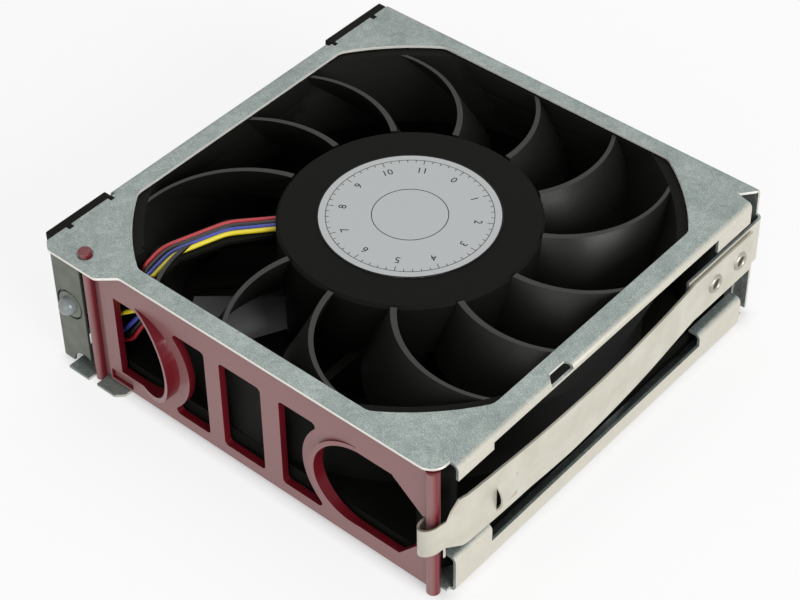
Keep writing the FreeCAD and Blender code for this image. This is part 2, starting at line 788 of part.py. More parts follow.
def make_fan_frame():
    """The fan's moulded duct between its two flanges, flared at its top."""
    body = make_flange_block("fan_frame", flange_floor, flange_roof)
    half = size["fan_half"]
    flare = size["flare_radius"]
    duct = size["bore_radius"]
    add_side_walls(body, flare_low, flange_roof)

    def outside_duct(sketch):
        spread = (flange_roof - flare_low) * (flare - duct) / (fan_top - flare_low)
        outline(sketch, [
            (half - 0.1, flange_floor - 1), (half * 1.6, flange_floor - 1), (half * 1.6, flange_roof),
            (half - 0.1 + spread, flange_roof), (half - 0.1, flare_low),
        ])

    turned(body, outside_duct, cut=True)
    return body


def make_lower_flange():
    """The frame's square flange at the air inlet."""
    body = make_flange_block("lower_flange", fan_low, flange_floor)
    cut_screw_holes(body)
    return body


def make_upper_flange():
    """The frame's square flange at the air outlet, with the notch that lets the leads down."""
    body = make_flange_block("upper_flange", flange_roof, fan_top)
    add_side_walls(body, flange_roof, fan_top)
    cut_screw_holes(body)

    def lead_notch(sketch):
        drop = -size["lead_drop_x"]
        back = -size["fan_half"]
        box_outline(sketch, drop - 2.2, back - 1, drop + size["lead_pitch"] * 3 + 1.6, back + 9.5)

    prism(body, "XY_Plane", flange_roof - 0.5, fan_top + 0.5, lead_notch, cut=True)

    def trough(sketch):
        draw_lead_band(sketch, size["stator_radius"])

    prism(body, "XY_Plane", trough_floor - trough_gauge, fan_top + 0.5, trough, cut=True)
    return body


def make_corner_tubes():
    """The four tubes between the flanges that the fan's screws pass through."""
    body = add_body("corner_tubes")

    def tubes(sketch):
        for x, y in corner_points(size["hole_half"]):
            circle(sketch, x, y, size["boss_radius"])
            circle(sketch, x, y, size["hole_radius"])

    prism(body, "XY_Plane", flange_floor, flange_roof, tubes)
    return body


def make_guide_vanes():
    """Thirteen curved vanes between the stator hub and the duct, as separate solids."""
    body = add_body("guide_vanes")
    duct = size["bore_radius"]
    flare = size["flare_radius"]
    vane_low = add_sketch(body, "XY_Plane", stator_low)
    draw_vane(vane_low, -size["vane_turn"])
    vane_top = add_sketch(body, "XY_Plane", fan_top)
    draw_vane(vane_top, Size(0))
    vane = body.newObject("PartDesign::AdditiveLoft", "Vane")
    vane.Profile = vane_low
    vane.Sections = [vane_top]
    vane.Ruled = True
    body.Tip = vane

    def beyond_flare(sketch):
        slope = (flare - duct) / (fan_top - flare_low)
        far = vane_reach + 8
        outline(sketch, [
            (duct + (stator_low - 1 - flare_low) * slope, stator_low - 1), (far, stator_low - 1),
            (far, fan_top + 1), (flare + slope, fan_top + 1),
        ])

    def inside_hub(sketch):
        box_outline(sketch, vane_root - 8, stator_low - 1, size["stator_radius"], fan_top + 1)

    outer_cut = turned(body, beyond_flare, cut=True)
    inner_cut = turned(body, inside_hub, cut=True)
    ring_pattern(body, [vane, outer_cut, inner_cut], 13)

    def beyond_walls(sketch):
        near = size["flare_half"]
        box_outline(sketch, -near, -near, near, near)
        box_outline(sketch, -near - 20, -near - 20, near + 20, near + 20)

    def lead_channel(sketch):
        draw_lead_band(sketch, size["stator_radius"] - 1)

    prism(body, "XY_Plane", stator_low - 1, fan_top + 1, beyond_walls, cut=True)
    prism(body, "XY_Plane", trough_floor - trough_gauge, fan_top + 1, lead_channel, cut=True)
    return body


def make_stator_hub():
    """The frame's hub: a shallow cup over the motor, with a window for the leads."""
    body = add_body("stator_hub")

    def cup(sketch):
        outer = size["stator_radius"]
        inner = outer - size["hub_wall"]
        outline(sketch, [
            (size["tube_bore"] + size["tube_wall"], fan_top - size["hub_wall"]),
            (inner, fan_top - size["hub_wall"]),
            (inner, stator_low), (outer, stator_low), (outer, fan_top - 0.8), (outer - 0.8, fan_top),
            (size["tube_bore"] + size["tube_wall"], fan_top),
        ])

    def window(sketch):
        leave = size["lead_hub_bearing"]
        inner = size["stator_radius"] - size["hub_wall"] - 0.5
        outline(sketch, [
            polar(inner, leave - 1.8), polar(size["stator_radius"] + 1, leave - 1.8),
            polar(size["stator_radius"] + 1, leave + 9.2), polar(inner, leave + 9.2),
        ])

    turned(body, cup)
    prism(body, "XY_Plane", trough_floor, trough_floor + 1.6, window, cut=True)
    return body


def make_lead_trough():
    """The floor under the four leads, from the hub to the frame's notch."""
    body = add_body("lead_trough")

    def floor(sketch):
        draw_lead_band(sketch, size["stator_radius"] + 0.3)

    prism(body, "XY_Plane", trough_floor - trough_gauge, trough_floor, floor)
    return body


# The fan leads lie side by side in a shallow trough on their way to the frame's front left corner.
trough_floor = fan_top - 3.7
trough_gauge = Size(1.1)


def lead_corners(place):
    """The plan of one lead from the hub to where it turns down; place 0 is the outermost lead."""
    leave = size["lead_hub_bearing"] + place * 2.4
    bend = size["lead_hub_bearing"] + 3.6 + place * 1.75
    across = -size["lead_drop_x"] - 2.3 + size["lead_pitch"] * place
    along = -Size(46.2)
    fall = -size["fan_half"] + 5.7 - place * 1.6
    return [polar(size["stator_radius"] - 1.6, leave), polar(Size(46), bend), (across, along),
            (across + (along - fall) * 0.187, fall)]


def draw_lead_band(sketch, start):
    """The band under the four leads, from a radius by the hub to the frame's notch."""
    margin = Size(1.8)
    near = lead_corners(0)
    far = lead_corners(3)
    leave = size["lead_hub_bearing"]
    end = -size["fan_half"] + 8.1
    outline(sketch, [
        polar(start, leave - 2.4), (near[1][0] - margin, near[1][1] + margin * 0.6),
        (near[2][0] - margin, near[2][1]), (near[2][0] - margin + 0.6, end),
        (far[2][0] + margin + 0.8, end), (far[2][0] + margin, far[2][1]),
        (far[1][0] + margin, far[1][1] - margin), polar(start, leave + 9.6),
    ])


def make_ring(name, inner, outer, low, high):
    """A plain ring, or a disc when inner is nothing, turned round the fan's axis."""
    body = add_body(name)

    def section(sketch):
        outline(sketch, [(inner, low), (outer, low), (outer, high), (inner, high)])

    turned(body, section)
    return body


def make_hub_label():
    """The bare disc of the label on the hub."""
    body = make_ring("hub_label", Size(0), size["label_radius"], fan_top, fan_top + size["label_gauge"])
    return body


tube_outside = size["tube_bore"] + size["tube_wall"]
cup_low = fan_low + 0.9
cup_floor = cup_low + size["hub_wall"]
yoke_outside = size["rotor_radius"] - size["hub_wall"]
yoke_inside = yoke_outside - size["yoke_wall"]
yoke_floor = cup_floor + size["yoke_wall"]
yoke_top = cup_low + size["rotor_height"] - 0.8
magnet_inside = yoke_inside - size["magnet_wall"]
core_outside = magnet_inside - size["air_gap"]
core_low = yoke_floor + 4
core_high = core_low + size["core_height"]
bearing_low = yoke_floor + 2.6
bearing_high = fan_top - size["hub_wall"] - size["bearing_width"] - 2
race = size["race_radius"]


def make_bearing_tube():
    """The tube under the hub that holds both bearings, with a shoulder between them."""
    body = add_body("bearing_tube")
    bore = size["tube_bore"]

    def section(sketch):
        outline(sketch, [
            (bore, bearing_low), (tube_outside, bearing_low), (tube_outside, fan_top),
            (bore, fan_top), (bore, bearing_high), (bore - 1.2, bearing_high),
            (bore - 1.2, bearing_low + size["bearing_width"]), (bore, bearing_low + size["bearing_width"]),
        ])

    turned(body, section)
    return body


def bearing_rings(name, inner, outer):
    """The same ring at both bearings, as two solids."""
    body = add_body(name)
    for low in (bearing_low, bearing_high):
        def section(sketch, low=low):
            outline(sketch, [(inner, low), (outer, low), (outer, low + size["bearing_width"]),
                             (inner, low + size["bearing_width"])])

        turned(body, section)
    return body


def make_stator_core():
    """The lamination stack with six poles."""
    body = add_body("stator_core")

    def yoke(sketch):
        circle(sketch, 0, 0, tube_outside + 3.2)
        circle(sketch, 0, 0, tube_outside)

    prism(body, "XY_Plane", core_low, core_high, yoke)

    def pole(sketch):
        neck = Size(2.6)
        shoe = core_outside - 2.6
        half_shoe = core_outside * 0.42
        tip = (core_outside * core_outside - half_shoe * half_shoe).root()
        outline(sketch, [
            (tube_outside + 2, -neck), (shoe, -neck), (tip - 1.6, -half_shoe), (tip, -half_shoe),
            (tip, half_shoe), (tip - 1.6, half_shoe), (shoe, neck), (tube_outside + 2, neck),
        ], {3: core_outside})

    feature = prism(body, "XY_Plane", core_low, core_high, pole)
    ring_pattern(body, [feature], 6)
    return body


coil_inside = Size(0.6) + tube_outside + 4
coil_outside = core_outside - 4.4


def make_stator_windings():
    """Six coils, one round each pole."""
    body = add_body("stator_windings")

    def coil(sketch):
        outline(sketch, [
            (coil_inside + 2.6, -5.8), (coil_outside, -7.6), (coil_outside, 7.6),
            (coil_inside + 2.6, 5.8), (coil_inside, 5), (coil_inside, -5),
        ])

    def gap_round_pole(sketch):
        box_outline(sketch, coil_inside - 1, -3.2, coil_outside + 1, 3.2)

    wound = prism(body, "XY_Plane", core_low - 2.4, core_high + 2.4, coil)
    opened = prism(body, "XY_Plane", core_low - 0.6, core_high + 0.6, gap_round_pole, cut=True)
    ring_pattern(body, [wound, opened], 6)
    return body


def make_stator_insulator():
    """The moulded insulator: a collar on each face of the stack and three posts for the board."""
    body = add_body("stator_insulator")

    def upper_collar(sketch):
        circle(sketch, 0, 0, tube_outside + 3.2)
        circle(sketch, 0, 0, tube_outside + 0.05)

    def post(sketch):
        circle(sketch, 0, tube_outside + 1.6, 1.5)

    prism(body, "XY_Plane", core_high, core_high + 2.4, upper_collar)
    feature = prism(body, "XY_Plane", core_high + 1, board_low, post)
    ring_pattern(body, [feature], 3)

    def pole_cover(sketch):
        box_outline(sketch, tube_outside + 1, -3.2, coil_outside + 1.2, 3.2)

    cover = prism(body, "XY_Plane", core_high, core_high + 0.6, pole_cover)
    ring_pattern(body, [cover], 6)
    return body


board_low = stator_low + 0.8


def make_motor_board():
    """The drive board above the coils, with a few parts on its upper face."""
    body = add_body("motor_board")

    def board(sketch):
        circle(sketch, 0, 0, size["stator_radius"] - size["hub_wall"] - 0.05)
        circle(sketch, 0, 0, tube_outside + 0.05)

    prism(body, "XY_Plane", board_low, board_low + 1.6, board)

    def chips(sketch):
        places = ((-22, -8, 6, 5), (14, -14, 5, 5), (13, 12, 8, 4), (-12, 16, 3, 6), (22, -2, 3, 3))
        for x, y, wide, deep in places:
            box_outline(sketch, x - wide / 2, y - deep / 2, x + wide / 2, y + deep / 2)

    prism(body, "XY_Plane", board_low + 1.6, board_low + 3.6, chips)
    return body


def make_rotor_yoke():
    """The steel cup inside the impeller hub, pressed on the shaft."""
    body = add_body("rotor_yoke")

    def section(sketch):
        shaft = size["shaft_radius"]
        outline(sketch, [
            (shaft, cup_floor), (yoke_outside, cup_floor), (yoke_outside, yoke_top),
            (yoke_inside, yoke_top), (yoke_inside, yoke_floor),
            (shaft + 2, yoke_floor), (shaft + 1.2, bearing_low - 0.4), (shaft, bearing_low - 0.4),
        ])

    turned(body, section)
    return body


def make_impeller():
    """The impeller's hub cup."""
    body = add_body("impeller")
    outer = size["rotor_radius"]
    inner = outer - size["hub_wall"]

    def cup(sketch):
        high = cup_low + size["rotor_height"]
        bore = size["shaft_radius"] + 3
        outline(sketch, [
            (bore, cup_low), (outer - 2, cup_low), (outer, cup_low + 2), (outer, high),
            (inner, high), (inner, cup_floor), (bore, cup_floor),
        ])

    turned(body, cup)
    return body


def make_impeller_blades():
    """Seven wide cambered blades, twisted from root to tip, as separate solids."""
    body = add_body("impeller_blades")
    outer = size["rotor_radius"]
    tip = size["bore_radius"] - size["tip_gap"]
    blade_low = cup_low + 1
    blade_high = blade_low + size["blade_height"]

    def blade_section(sketch, reach, half, camber):
        """A cambered plate from low and ahead to high and behind."""
        outline(sketch, [
            (-reach - half, blade_low), (-reach + half, blade_low),
            (reach + half, blade_high), (reach - half, blade_high),
        ], {1: camber, 3: -camber})

    root_profile = add_sketch(body, "YZ_Plane", outer - 9)
    blade_section(root_profile, size["blade_root_reach"], size["blade_gauge"] * 0.8, Size(60))
    tip_profile = add_sketch(body, "YZ_Plane", tip + 4)
    blade_section(tip_profile, size["blade_tip_reach"], size["blade_gauge"] * 0.6, Size(80))
    blade = body.newObject("PartDesign::AdditiveLoft", "Blade")
    blade.Profile = root_profile
    blade.Sections = [tip_profile]
    blade.Ruled = False
    body.Tip = blade

    def beyond_tips(sketch):
        box_outline(sketch, tip, cup_low - 2, tip + 40, blade_high + 4)

    def inside_cup(sketch):
        box_outline(sketch, 0, cup_low - 2, outer, blade_high + 4)

    outer_cut = turned(body, beyond_tips, cut=True)
    inner_cut = turned(body, inside_cup, cut=True)
    ring_pattern(body, [blade, outer_cut, inner_cut], 7)
    return body


def make_fan_pads():
    """Four rubber pads between the fan and the base, as separate solids."""
    body = add_body("fan_pads")

    def pads(sketch):
        for x, y in corner_points(size["hole_half"]):
            circle(sketch, x, y, size["boss_radius"] + 1)

    prism(body, "XY_Plane", gauge, fan_low, pads)

    def pegs(sketch):
        for x, y in corner_points(size["hole_half"]):
            circle(sketch, x, y, size["hole_radius"] - 0.1)

    prism(body, "XY_Plane", fan_low - 0.5, fan_low + 5, pegs)
    return body


# ---------------------------------------------------------------- the handle and its latch

face_y = -size["handle_front"]
back_y = face_y + size["handle_wall"]
handle_top = plate_under - size["handle_gap"]
grip_z = size["grip_z"]
lip_outside = size["grip_radius"] + size["lip_wall"]
slot_curve = lip_outside + size["bar_gap"]


def make_handle():
    """The pull handle: a plate between two posts, with two finger holes, lips and three slots."""
    body = add_body("handle")
    left = -size["pivot_x"]
    right = size["post_x"]
    grip = size["grip_radius"]
    left_grip = -size["grip_left_x"]
    right_grip = size["grip_right_x"]

    def plate(sketch):
        box_outline(sketch, left + size["pivot_radius"] + 1.6, size["handle_low"], right - 0.6, handle_top)

    prism(body, "XZ_Plane", face_y, back_y, plate)

    def groove_floor(sketch):
        box_outline(sketch, left, size["handle_low"], left + size["pivot_radius"] + 2.2, handle_top - 0.2)

    prism(body, "XZ_Plane", back_y - 1.4, back_y, groove_floor)

    def left_post(sketch):
        circle(sketch, left, -size["pivot_y"], size["pivot_radius"])

    def swing_post(sketch):
        circle(sketch, left, -size["pivot_y"], size["post_thin"])

    prism(body, "XY_Plane", plate_under - 0.6, plate_top + size["pivot_proud"], left_post)
    prism(body, "XY_Plane", 0.1, plate_under - 0.6, swing_post)

    def right_post(sketch):
        circle(sketch, right, -size["post_y"], size["post_radius"])

    prism(body, "XY_Plane", size["handle_low"] - 1.2, handle_top + 0.2, right_post)

    def left_lip(sketch):
        outline(sketch, [
            (left_grip, grip_z - lip_outside), (left_grip + lip_outside, grip_z),
            (left_grip, grip_z + lip_outside), (left_grip, grip_z + grip - 0.3),
            (left_grip + grip - 0.3, grip_z), (left_grip, grip_z - grip + 0.3),
        ], {0: lip_outside, 1: lip_outside, 3: -(grip - 0.3), 4: -(grip - 0.3)})

    prism(body, "XZ_Plane", face_y - size["lip_left_reach"], face_y + 0.5, left_lip)

    def left_lip_slope(sketch):
        far = left_grip + lip_outside
        reach = size["lip_left_reach"]
        outline(sketch, [
            (left_grip - 1, face_y), (left_grip, face_y), (far, face_y - reach),
            (far + 1, face_y - reach), (far + 1, face_y - reach - 1), (left_grip - 1, face_y - reach - 1),
        ])

    prism(body, "XY_Plane", grip_z - lip_outside - 1, grip_z + lip_outside + 1, left_lip_slope, cut=True)

    def left_hole(sketch):
        flat = -size["grip_flat"]
        outline(sketch, [
            (flat, grip_z - grip), (left_grip, grip_z - grip), (left_grip + grip, grip_z),
            (left_grip, grip_z + grip), (flat, grip_z + grip),
        ], {1: grip, 2: grip})

    prism(body, "XZ_Plane", face_y - size["lip_left_reach"] - 1, back_y + 1, left_hole, cut=True)

    def right_lip(sketch):
        outline(sketch, [
            (right_grip, grip_z + lip_outside), (right_grip - lip_outside, grip_z),
            (right_grip, grip_z - lip_outside), (right_grip, grip_z - grip + 0.3),
            (right_grip - grip + 0.3, grip_z), (right_grip, grip_z + grip - 0.3),
        ], {0: lip_outside, 1: lip_outside, 3: -(grip - 0.3), 4: -(grip - 0.3)})

    prism(body, "XZ_Plane", face_y - size["lip_right_reach"], face_y + 0.5, right_lip)

    def right_lip_slope(sketch):
        far = right_grip - lip_outside
        reach = size["lip_right_reach"]
        outline(sketch, [
            (right_grip + 1, face_y), (right_grip, face_y), (far, face_y - reach),
            (far - 1, face_y - reach), (far - 1, face_y - reach - 1), (right_grip + 1, face_y - reach - 1),
        ])

    prism(body, "XY_Plane", grip_z - lip_outside - 1, grip_z + lip_outside + 1, right_lip_slope, cut=True)

    def right_hole(sketch):
        outline(sketch, [
            (right_grip, grip_z + grip), (right_grip - grip, grip_z), (right_grip, grip_z - grip),
            (right_grip + 12.4, grip_z - grip),
            (right - 3.2, size["hook_low"] - 0.8), (right + 0.2, size["hook_low"] - 0.8),
            (right + 0.2, size["hook_top"] + 0.7), (right - 2.8, size["hook_top"] + 0.7),
            (right_grip + 11.2, grip_z + grip - 0.6), (right_grip + 10.6, grip_z + grip),
        ], {0: grip, 1: grip})

    prism(body, "XZ_Plane", face_y - size["lip_right_reach"] - 1, back_y + 1, right_hole, cut=True)

    def free_post(sketch):
        circle(sketch, right, -size["post_y"], size["post_radius"])

    prism(body, "XY_Plane", size["hook_low"] - 2, size["hook_top"] + 2, free_post)

    low = size["slot_low"]
    high = size["slot_top"]

    def edge_x(level):
        gap = level - grip_z
        return (slot_curve * slot_curve - gap * gap).root()

    def slots(sketch):
        outline(sketch, [
            (left_grip + edge_x(low), low), (-size["slot_inner_left"], low),
            (-size["slot_inner_left"], high),
            (left_grip + edge_x(high), high), (left_grip + slot_curve, grip_z),
        ], {3: -slot_curve, 4: -slot_curve})
        box_outline(sketch, -size["slot_middle_half"], low, size["slot_middle_half"], high)
        outline(sketch, [
            (size["slot_inner_right"], low), (right_grip - edge_x(low), low),
            (right_grip - slot_curve, grip_z),
            (right_grip - edge_x(high), high), (size["slot_inner_right"], high),
        ], {1: -slot_curve, 2: -slot_curve})

    prism(body, "XZ_Plane", face_y - 1, back_y + 1, slots, cut=True)

    def recess(sketch):
        box_outline(sketch, left + 4, size["handle_low"] + 0.8,
                    -size["grip_flat"] + 3.6, size["slot_low"] + 0.6)

    prism(body, "XZ_Plane", face_y - 0.5, face_y + 1, recess, cut=True)

    def slot_corner(edge):
        middle = edge.CenterOfMass
        at_level = abs(middle.z - low.value) < 0.01 or abs(middle.z - high.value) < 0.01
        return runs_along(edge, backwards) and at_level and abs(middle.x) < 30

    round_edges(body, 1.2, slot_corner)
    return body


leaf_inner = leaf_face
leaf_outer = leaf_face + size["spring_gauge"]
hook_x = size["post_x"] + 0.3
hook_y = -(size["post_y"] + size["hook_lead"])
hook_outside = size["hook_radius"] + size["spring_gauge"]
arm_rear = size["eyelet_front"] - 9
arm_front = -(size["hook_lead"] + 54.5)
arm_radius = ((arm_rear - arm_front) * (arm_rear - arm_front) / 4
              + size["spring_bow"] * size["spring_bow"]) / (size["spring_bow"] * 2)
catch_y = Size(-46.9)


def make_latch_spring():
    """The leaf latch: a tab on the bracket, a bowed arm and a hook round the handle's post."""
    body = add_body("latch_spring")
    leg_end = hook_y + 2.9

    def plan(sketch):
        outline(sketch, [
            (leaf_inner, size["spring_rear"]), (leaf_inner, arm_rear), (leaf_inner, arm_front),
            (hook_x + size["hook_radius"], hook_y), (hook_x, hook_y - size["hook_radius"]),
            (hook_x - size["hook_radius"], hook_y), (hook_x - size["hook_radius"], leg_end),
            (hook_x - hook_outside, leg_end), (hook_x - hook_outside, hook_y),
            (hook_x, hook_y - hook_outside), (hook_x + hook_outside, hook_y),
            (leaf_outer, arm_front), (leaf_outer, arm_rear), (leaf_outer, size["spring_rear"]),
        ], {
            1: -arm_radius, 3: -size["hook_radius"], 4: -size["hook_radius"],
            8: hook_outside, 9: hook_outside, 11: arm_radius,
        })

    prism(body, "XY_Plane", size["hook_low"] - 0.4, size["spring_top"] + 0.2, plan)

    def above(sketch):
        top = size["spring_top"]
        outline(sketch, [
            (size["spring_rear"] + 1, top), (10, top + 0.2), (-45, top - 0.6), (-58.5, top - 1.2),
            (-62.1, size["hook_top"] + size["hook_rise"]), (-70, size["hook_top"] + size["hook_rise"]),
            (-70, top + 2), (size["spring_rear"] + 1, top + 2),
        ])

    def below(sketch):
        low = size["hook_low"]
        outline(sketch, [
            (size["spring_rear"] + 1, size["spring_low"]), (25, size["spring_low"]),
            (-20, size["spring_low"] - 2.4), (-35, size["spring_low"] - 2.4), (-50, low + 0.9),
            (-57.6, low + 0.2), (-62.4, low + size["hook_rise"]), (-62.4, low - 2),
            (size["spring_rear"] + 1, low - 2),
        ])

    prism(body, "YZ_Plane", leaf_inner - 12, leaf_outer + 6, above, cut=True)
    prism(body, "YZ_Plane", leaf_inner - 12, leaf_outer + 6, below, cut=True)

    def hook_top_slope(sketch):
        outline(sketch, [
            (hook_x - 5, size["hook_top"]), (hook_x - 2, size["hook_top"]),
            (hook_x + 3.2, size["hook_top"] + size["hook_rise"]), (hook_x + 3.2, size["spring_top"] + 2),
            (hook_x - 5, size["spring_top"] + 2),
        ])

    def hook_low_slope(sketch):
        outline(sketch, [
            (hook_x - 2, size["hook_low"]), (hook_x + 3.2, size["hook_low"] + size["hook_rise"]),
            (hook_x + 3.2, size["hook_low"] - 2), (hook_x - 5, size["hook_low"] - 2),
            (hook_x - 5, size["hook_low"]),
        ])

    prism(body, "XZ_Plane", -70, -60, hook_top_slope, cut=True)
    prism(body, "XZ_Plane", -70, -62.4, hook_low_slope, cut=True)

    louver_half = Size(4.5)
    louver_z = size["spring_low"] + 3

    def louver_opening(sketch):
        inside = louver_half - 0.8
        box_outline(sketch, catch_y, louver_z - inside, catch_y + 7, louver_z + inside)

    prism(body, "YZ_Plane", leaf_inner - 1, leaf_outer + 4, louver_opening, cut=True)

    def louver_section(sketch, foot, rise, skin):
        inner_half = louver_half - 0.7
        inner_rise = rise - skin
        outline(sketch, [
            (foot, louver_z - louver_half), (foot + rise, louver_z), (foot, louver_z + louver_half),
            (foot, louver_z + inner_half), (foot + inner_rise, louver_z), (foot, louver_z - inner_half),
        ], {
            0: (louver_half * louver_half + rise * rise) / (rise * 2),
            1: (louver_half * louver_half + rise * rise) / (rise * 2),
            3: -(inner_half * inner_half + inner_rise * inner_rise) / (inner_rise * 2),
            4: -(inner_half * inner_half + inner_rise * inner_rise) / (inner_rise * 2),
        })

    mouth = add_sketch(body, "XZ_Plane", -catch_y)
    louver_section(mouth, leaf_outer + 0.4, Size(2.3), size["spring_gauge"])
    root = add_sketch(body, "XZ_Plane", -catch_y - 8)
    louver_section(root, leaf_outer + 0.7, Size(0.55), Size(0.3))
    louver = body.newObject("PartDesign::AdditiveLoft", "Louver")
    louver.Profile = mouth
    louver.Sections = [root]
    louver.Ruled = True
    body.Tip = louver

    def eyelet_holes(sketch):
        for place in (size["eyelet_front"], size["eyelet_rear"]):
            circle(sketch, place, size["eyelet_z"], size["eyelet_barrel"])

    prism(body, "YZ_Plane", leaf_inner - 1, leaf_outer + 1, eyelet_holes, cut=True)
    return body


def make_spring_eyelets():
    """Two hollow eyelets that hold the leaf to its bracket, as separate solids."""
    body = add_body("spring_eyelets")
    inner_end = wall_inside - size["spring_gap"]
    stages = [
        (inner_end - 0.6, inner_end, size["eyelet_flange"]),
        (inner_end, leaf_outer, size["eyelet_barrel"]),
        (leaf_outer, leaf_outer + 0.5, size["eyelet_flange"]),
    ]
    for low, high, radius in stages:
        def stage(sketch, radius=radius):
            for place in (size["eyelet_front"], size["eyelet_rear"]):
                circle(sketch, place, size["eyelet_z"], radius)
                circle(sketch, place, size["eyelet_z"], size["eyelet_bore"])

        prism(body, "YZ_Plane", low, high, stage)
    return body


# ---------------------------------------------------------------- lamp, connector and leads

def make_indicator_led():
    """The lamp: a domed lens with a collar, looking forwards through the panel's hole."""
    body = add_body("indicator_led")
    front = -size["cage_half"] - 3.1
    radius = size["led_radius"]

    def lens(sketch):
        circle(sketch, -size["led_x"], size["led_z"], radius)

    def collar(sketch):
        circle(sketch, -size["led_x"], size["led_z"], radius + 0.4)

    prism(body, "XZ_Plane", front, front + 5.7, lens)
    prism(body, "XZ_Plane", front + 5.7, front + 6.7, collar)

    def front_rim(edge):
        return len(edge.Vertexes) == 1 and abs(edge.CenterOfMass.y - front.value) < 0.01

    round_edges(body, radius - 0.02, front_rim)
    return body


def make_led_holder():
    """The plastic holder that fills the panel's hole round the lamp."""
    body = add_body("led_holder")
    panel = -size["cage_half"]
    lens = size["led_radius"]

    def flange(sketch):
        circle(sketch, -size["led_x"], size["led_z"], size["led_hole"] - 0.55)
        circle(sketch, -size["led_x"], size["led_z"], lens)

    def backing(sketch):
        circle(sketch, -size["led_x"], size["led_z"], size["led_hole"] - 0.05)
        circle(sketch, -size["led_x"], size["led_z"], lens)

    prism(body, "XZ_Plane", panel, panel + gauge, flange)
    prism(body, "XZ_Plane", panel + gauge, panel + gauge + 1.6, backing)
    return body


def draw_connector_nose(sketch, play):
    x = -size["connector_x"]
    z = size["connector_z"]
    wide = size["connector_half"] - 2 + play
    tall = size["connector_height"] / 2 - 1 + play
    box_outline(sketch, x - wide, z - tall, x + wide, z + tall)


def make_connector_housing():
    """The blind-mate connector: a shoulder inside the rear wall and an open nose through it."""
    body = add_body("connector_housing")
    inside = size["cage_half"] - gauge
    nose_end = size["cage_half"] + size["connector_proud"]
    x = -size["connector_x"]
    z = size["connector_z"]

    def shoulder(sketch):
        box_outline(sketch, x - size["connector_half"], z - size["connector_height"] / 2,
                    x + size["connector_half"], z + size["connector_height"] / 2)

    def nose(sketch):
        draw_connector_nose(sketch, Size(0))

    def cavity(sketch):
        draw_connector_nose(sketch, Size(-1.2))

    prism(body, "XZ_Plane", inside - 2.6, inside, shoulder)
    prism(body, "XZ_Plane", inside, nose_end, nose)
    prism(body, "XZ_Plane", inside + 0.4, nose_end + 0.5, cavity, cut=True)

    def lead_bores(sketch):
        for place in range(4):
            circle(sketch, size["fan_half"] + 1.4, lead_inlet(place), size["lead_radius"] + 0.05)
        for place in range(2):
            circle(sketch, size["fan_half"] + 1.4, lamp_lead_inlet(place), size["lead_radius"] * 0.7 + 0.05)

    side = x - size["connector_half"]
    prism(body, "YZ_Plane", side - 0.5, side + 1.1, lead_bores, cut=True)
    return body


def lead_inlet(place):
    """The height at which a fan lead enters the connector."""
    return size["connector_z"] - 2.85 + size["lead_pitch"] * place


def lamp_lead_inlet(place):
    return size["connector_z"] + 4 - place * 1.2


def make_connector_contacts():
    """Six contact blades in the connector's nose, as separate solids."""
    body = add_body("connector_contacts")

    def blades(sketch):
        for index in range(6):
            x = -size["connector_x"] + (index - 2.5) * 2.8
            box_outline(sketch, x - 0.4, size["connector_z"] - 1.6, x + 0.4, size["connector_z"] + 1.6)

    floor = size["cage_half"] - gauge + 0.4
    prism(body, "XZ_Plane", floor, size["cage_half"] + size["connector_proud"] - 0.8, blades)
    return body


def rounded_path(points, radii):
    """One wire through the points, its corners rounded by tangent arcs of the radii given."""
    edges = []
    last = points[0]
    for index in range(1, len(points) - 1):
        corner = points[index]
        back = (points[index - 1] - corner).normalize()
        onward = (points[index + 1] - corner).normalize()
        angle = math.acos(max(-1, min(1, back.dot(onward))))
        radius = radii[index - 1]
        trim = radius / math.tan(angle / 2)
        start = corner + back * trim
        finish = corner + onward * trim
        centre = corner + (back + onward).normalize() * (radius / math.sin(angle / 2))
        middle = centre + (corner - centre).normalize() * radius
        if (start - last).Length > 1e-6:
            edges.append(Part.LineSegment(last, start).toShape())
        edges.append(Part.Arc(start, middle, finish).toShape())
        last = finish
    edges.append(Part.LineSegment(last, points[-1]).toShape())
    return Part.Wire(edges)


def sheet_value(alias):
    return float(sheet.get(alias))


def make_lead(name, points, radii, radius):
    """A lead swept whole along its route."""
    wire = rounded_path([Vector(*[Size.of(number).value for number in point]) for point in points], radii)
    first = wire.Edges[0]
    start = first.valueAt(first.FirstParameter)
    way = first.tangentAt(first.FirstParameter)
    section = Part.Wire([Part.Circle(start, way, radius).toShape()])
    solid = wire.makePipeShell([section], True, False)
    lead = doc.addObject("Part::Feature", name)
    lead.Label = name
    lead.Shape = solid
    lead.Placement = Placement()
    expected = wire.Length * math.pi * radius * radius
    print("%s: length %.1f mm, bend radii %s, volume off by %.2f %%" % (
        name, wire.Length, ", ".join("%.1f" % bend for bend in radii),
        100 * (solid.Volume / expected - 1)))
    return lead


# Where each lead turns below the notch, is deepest behind the handle, and passes the corner tube.
lead_turns = [
    (21.5, (-44.8, -57.0, 12.2), (-52, -59.2, 10.5)),
    (25.0, (-45.2, -57.8, 14.2), (-52, -59.2, 12.0)),
    (28.5, (-45.6, -58.4, 16.4), (-52, -59.2, 13.6)),
    (30.8, (-44.6, -59.2, 23.6), (-52, -59.3, 16.8)),
]


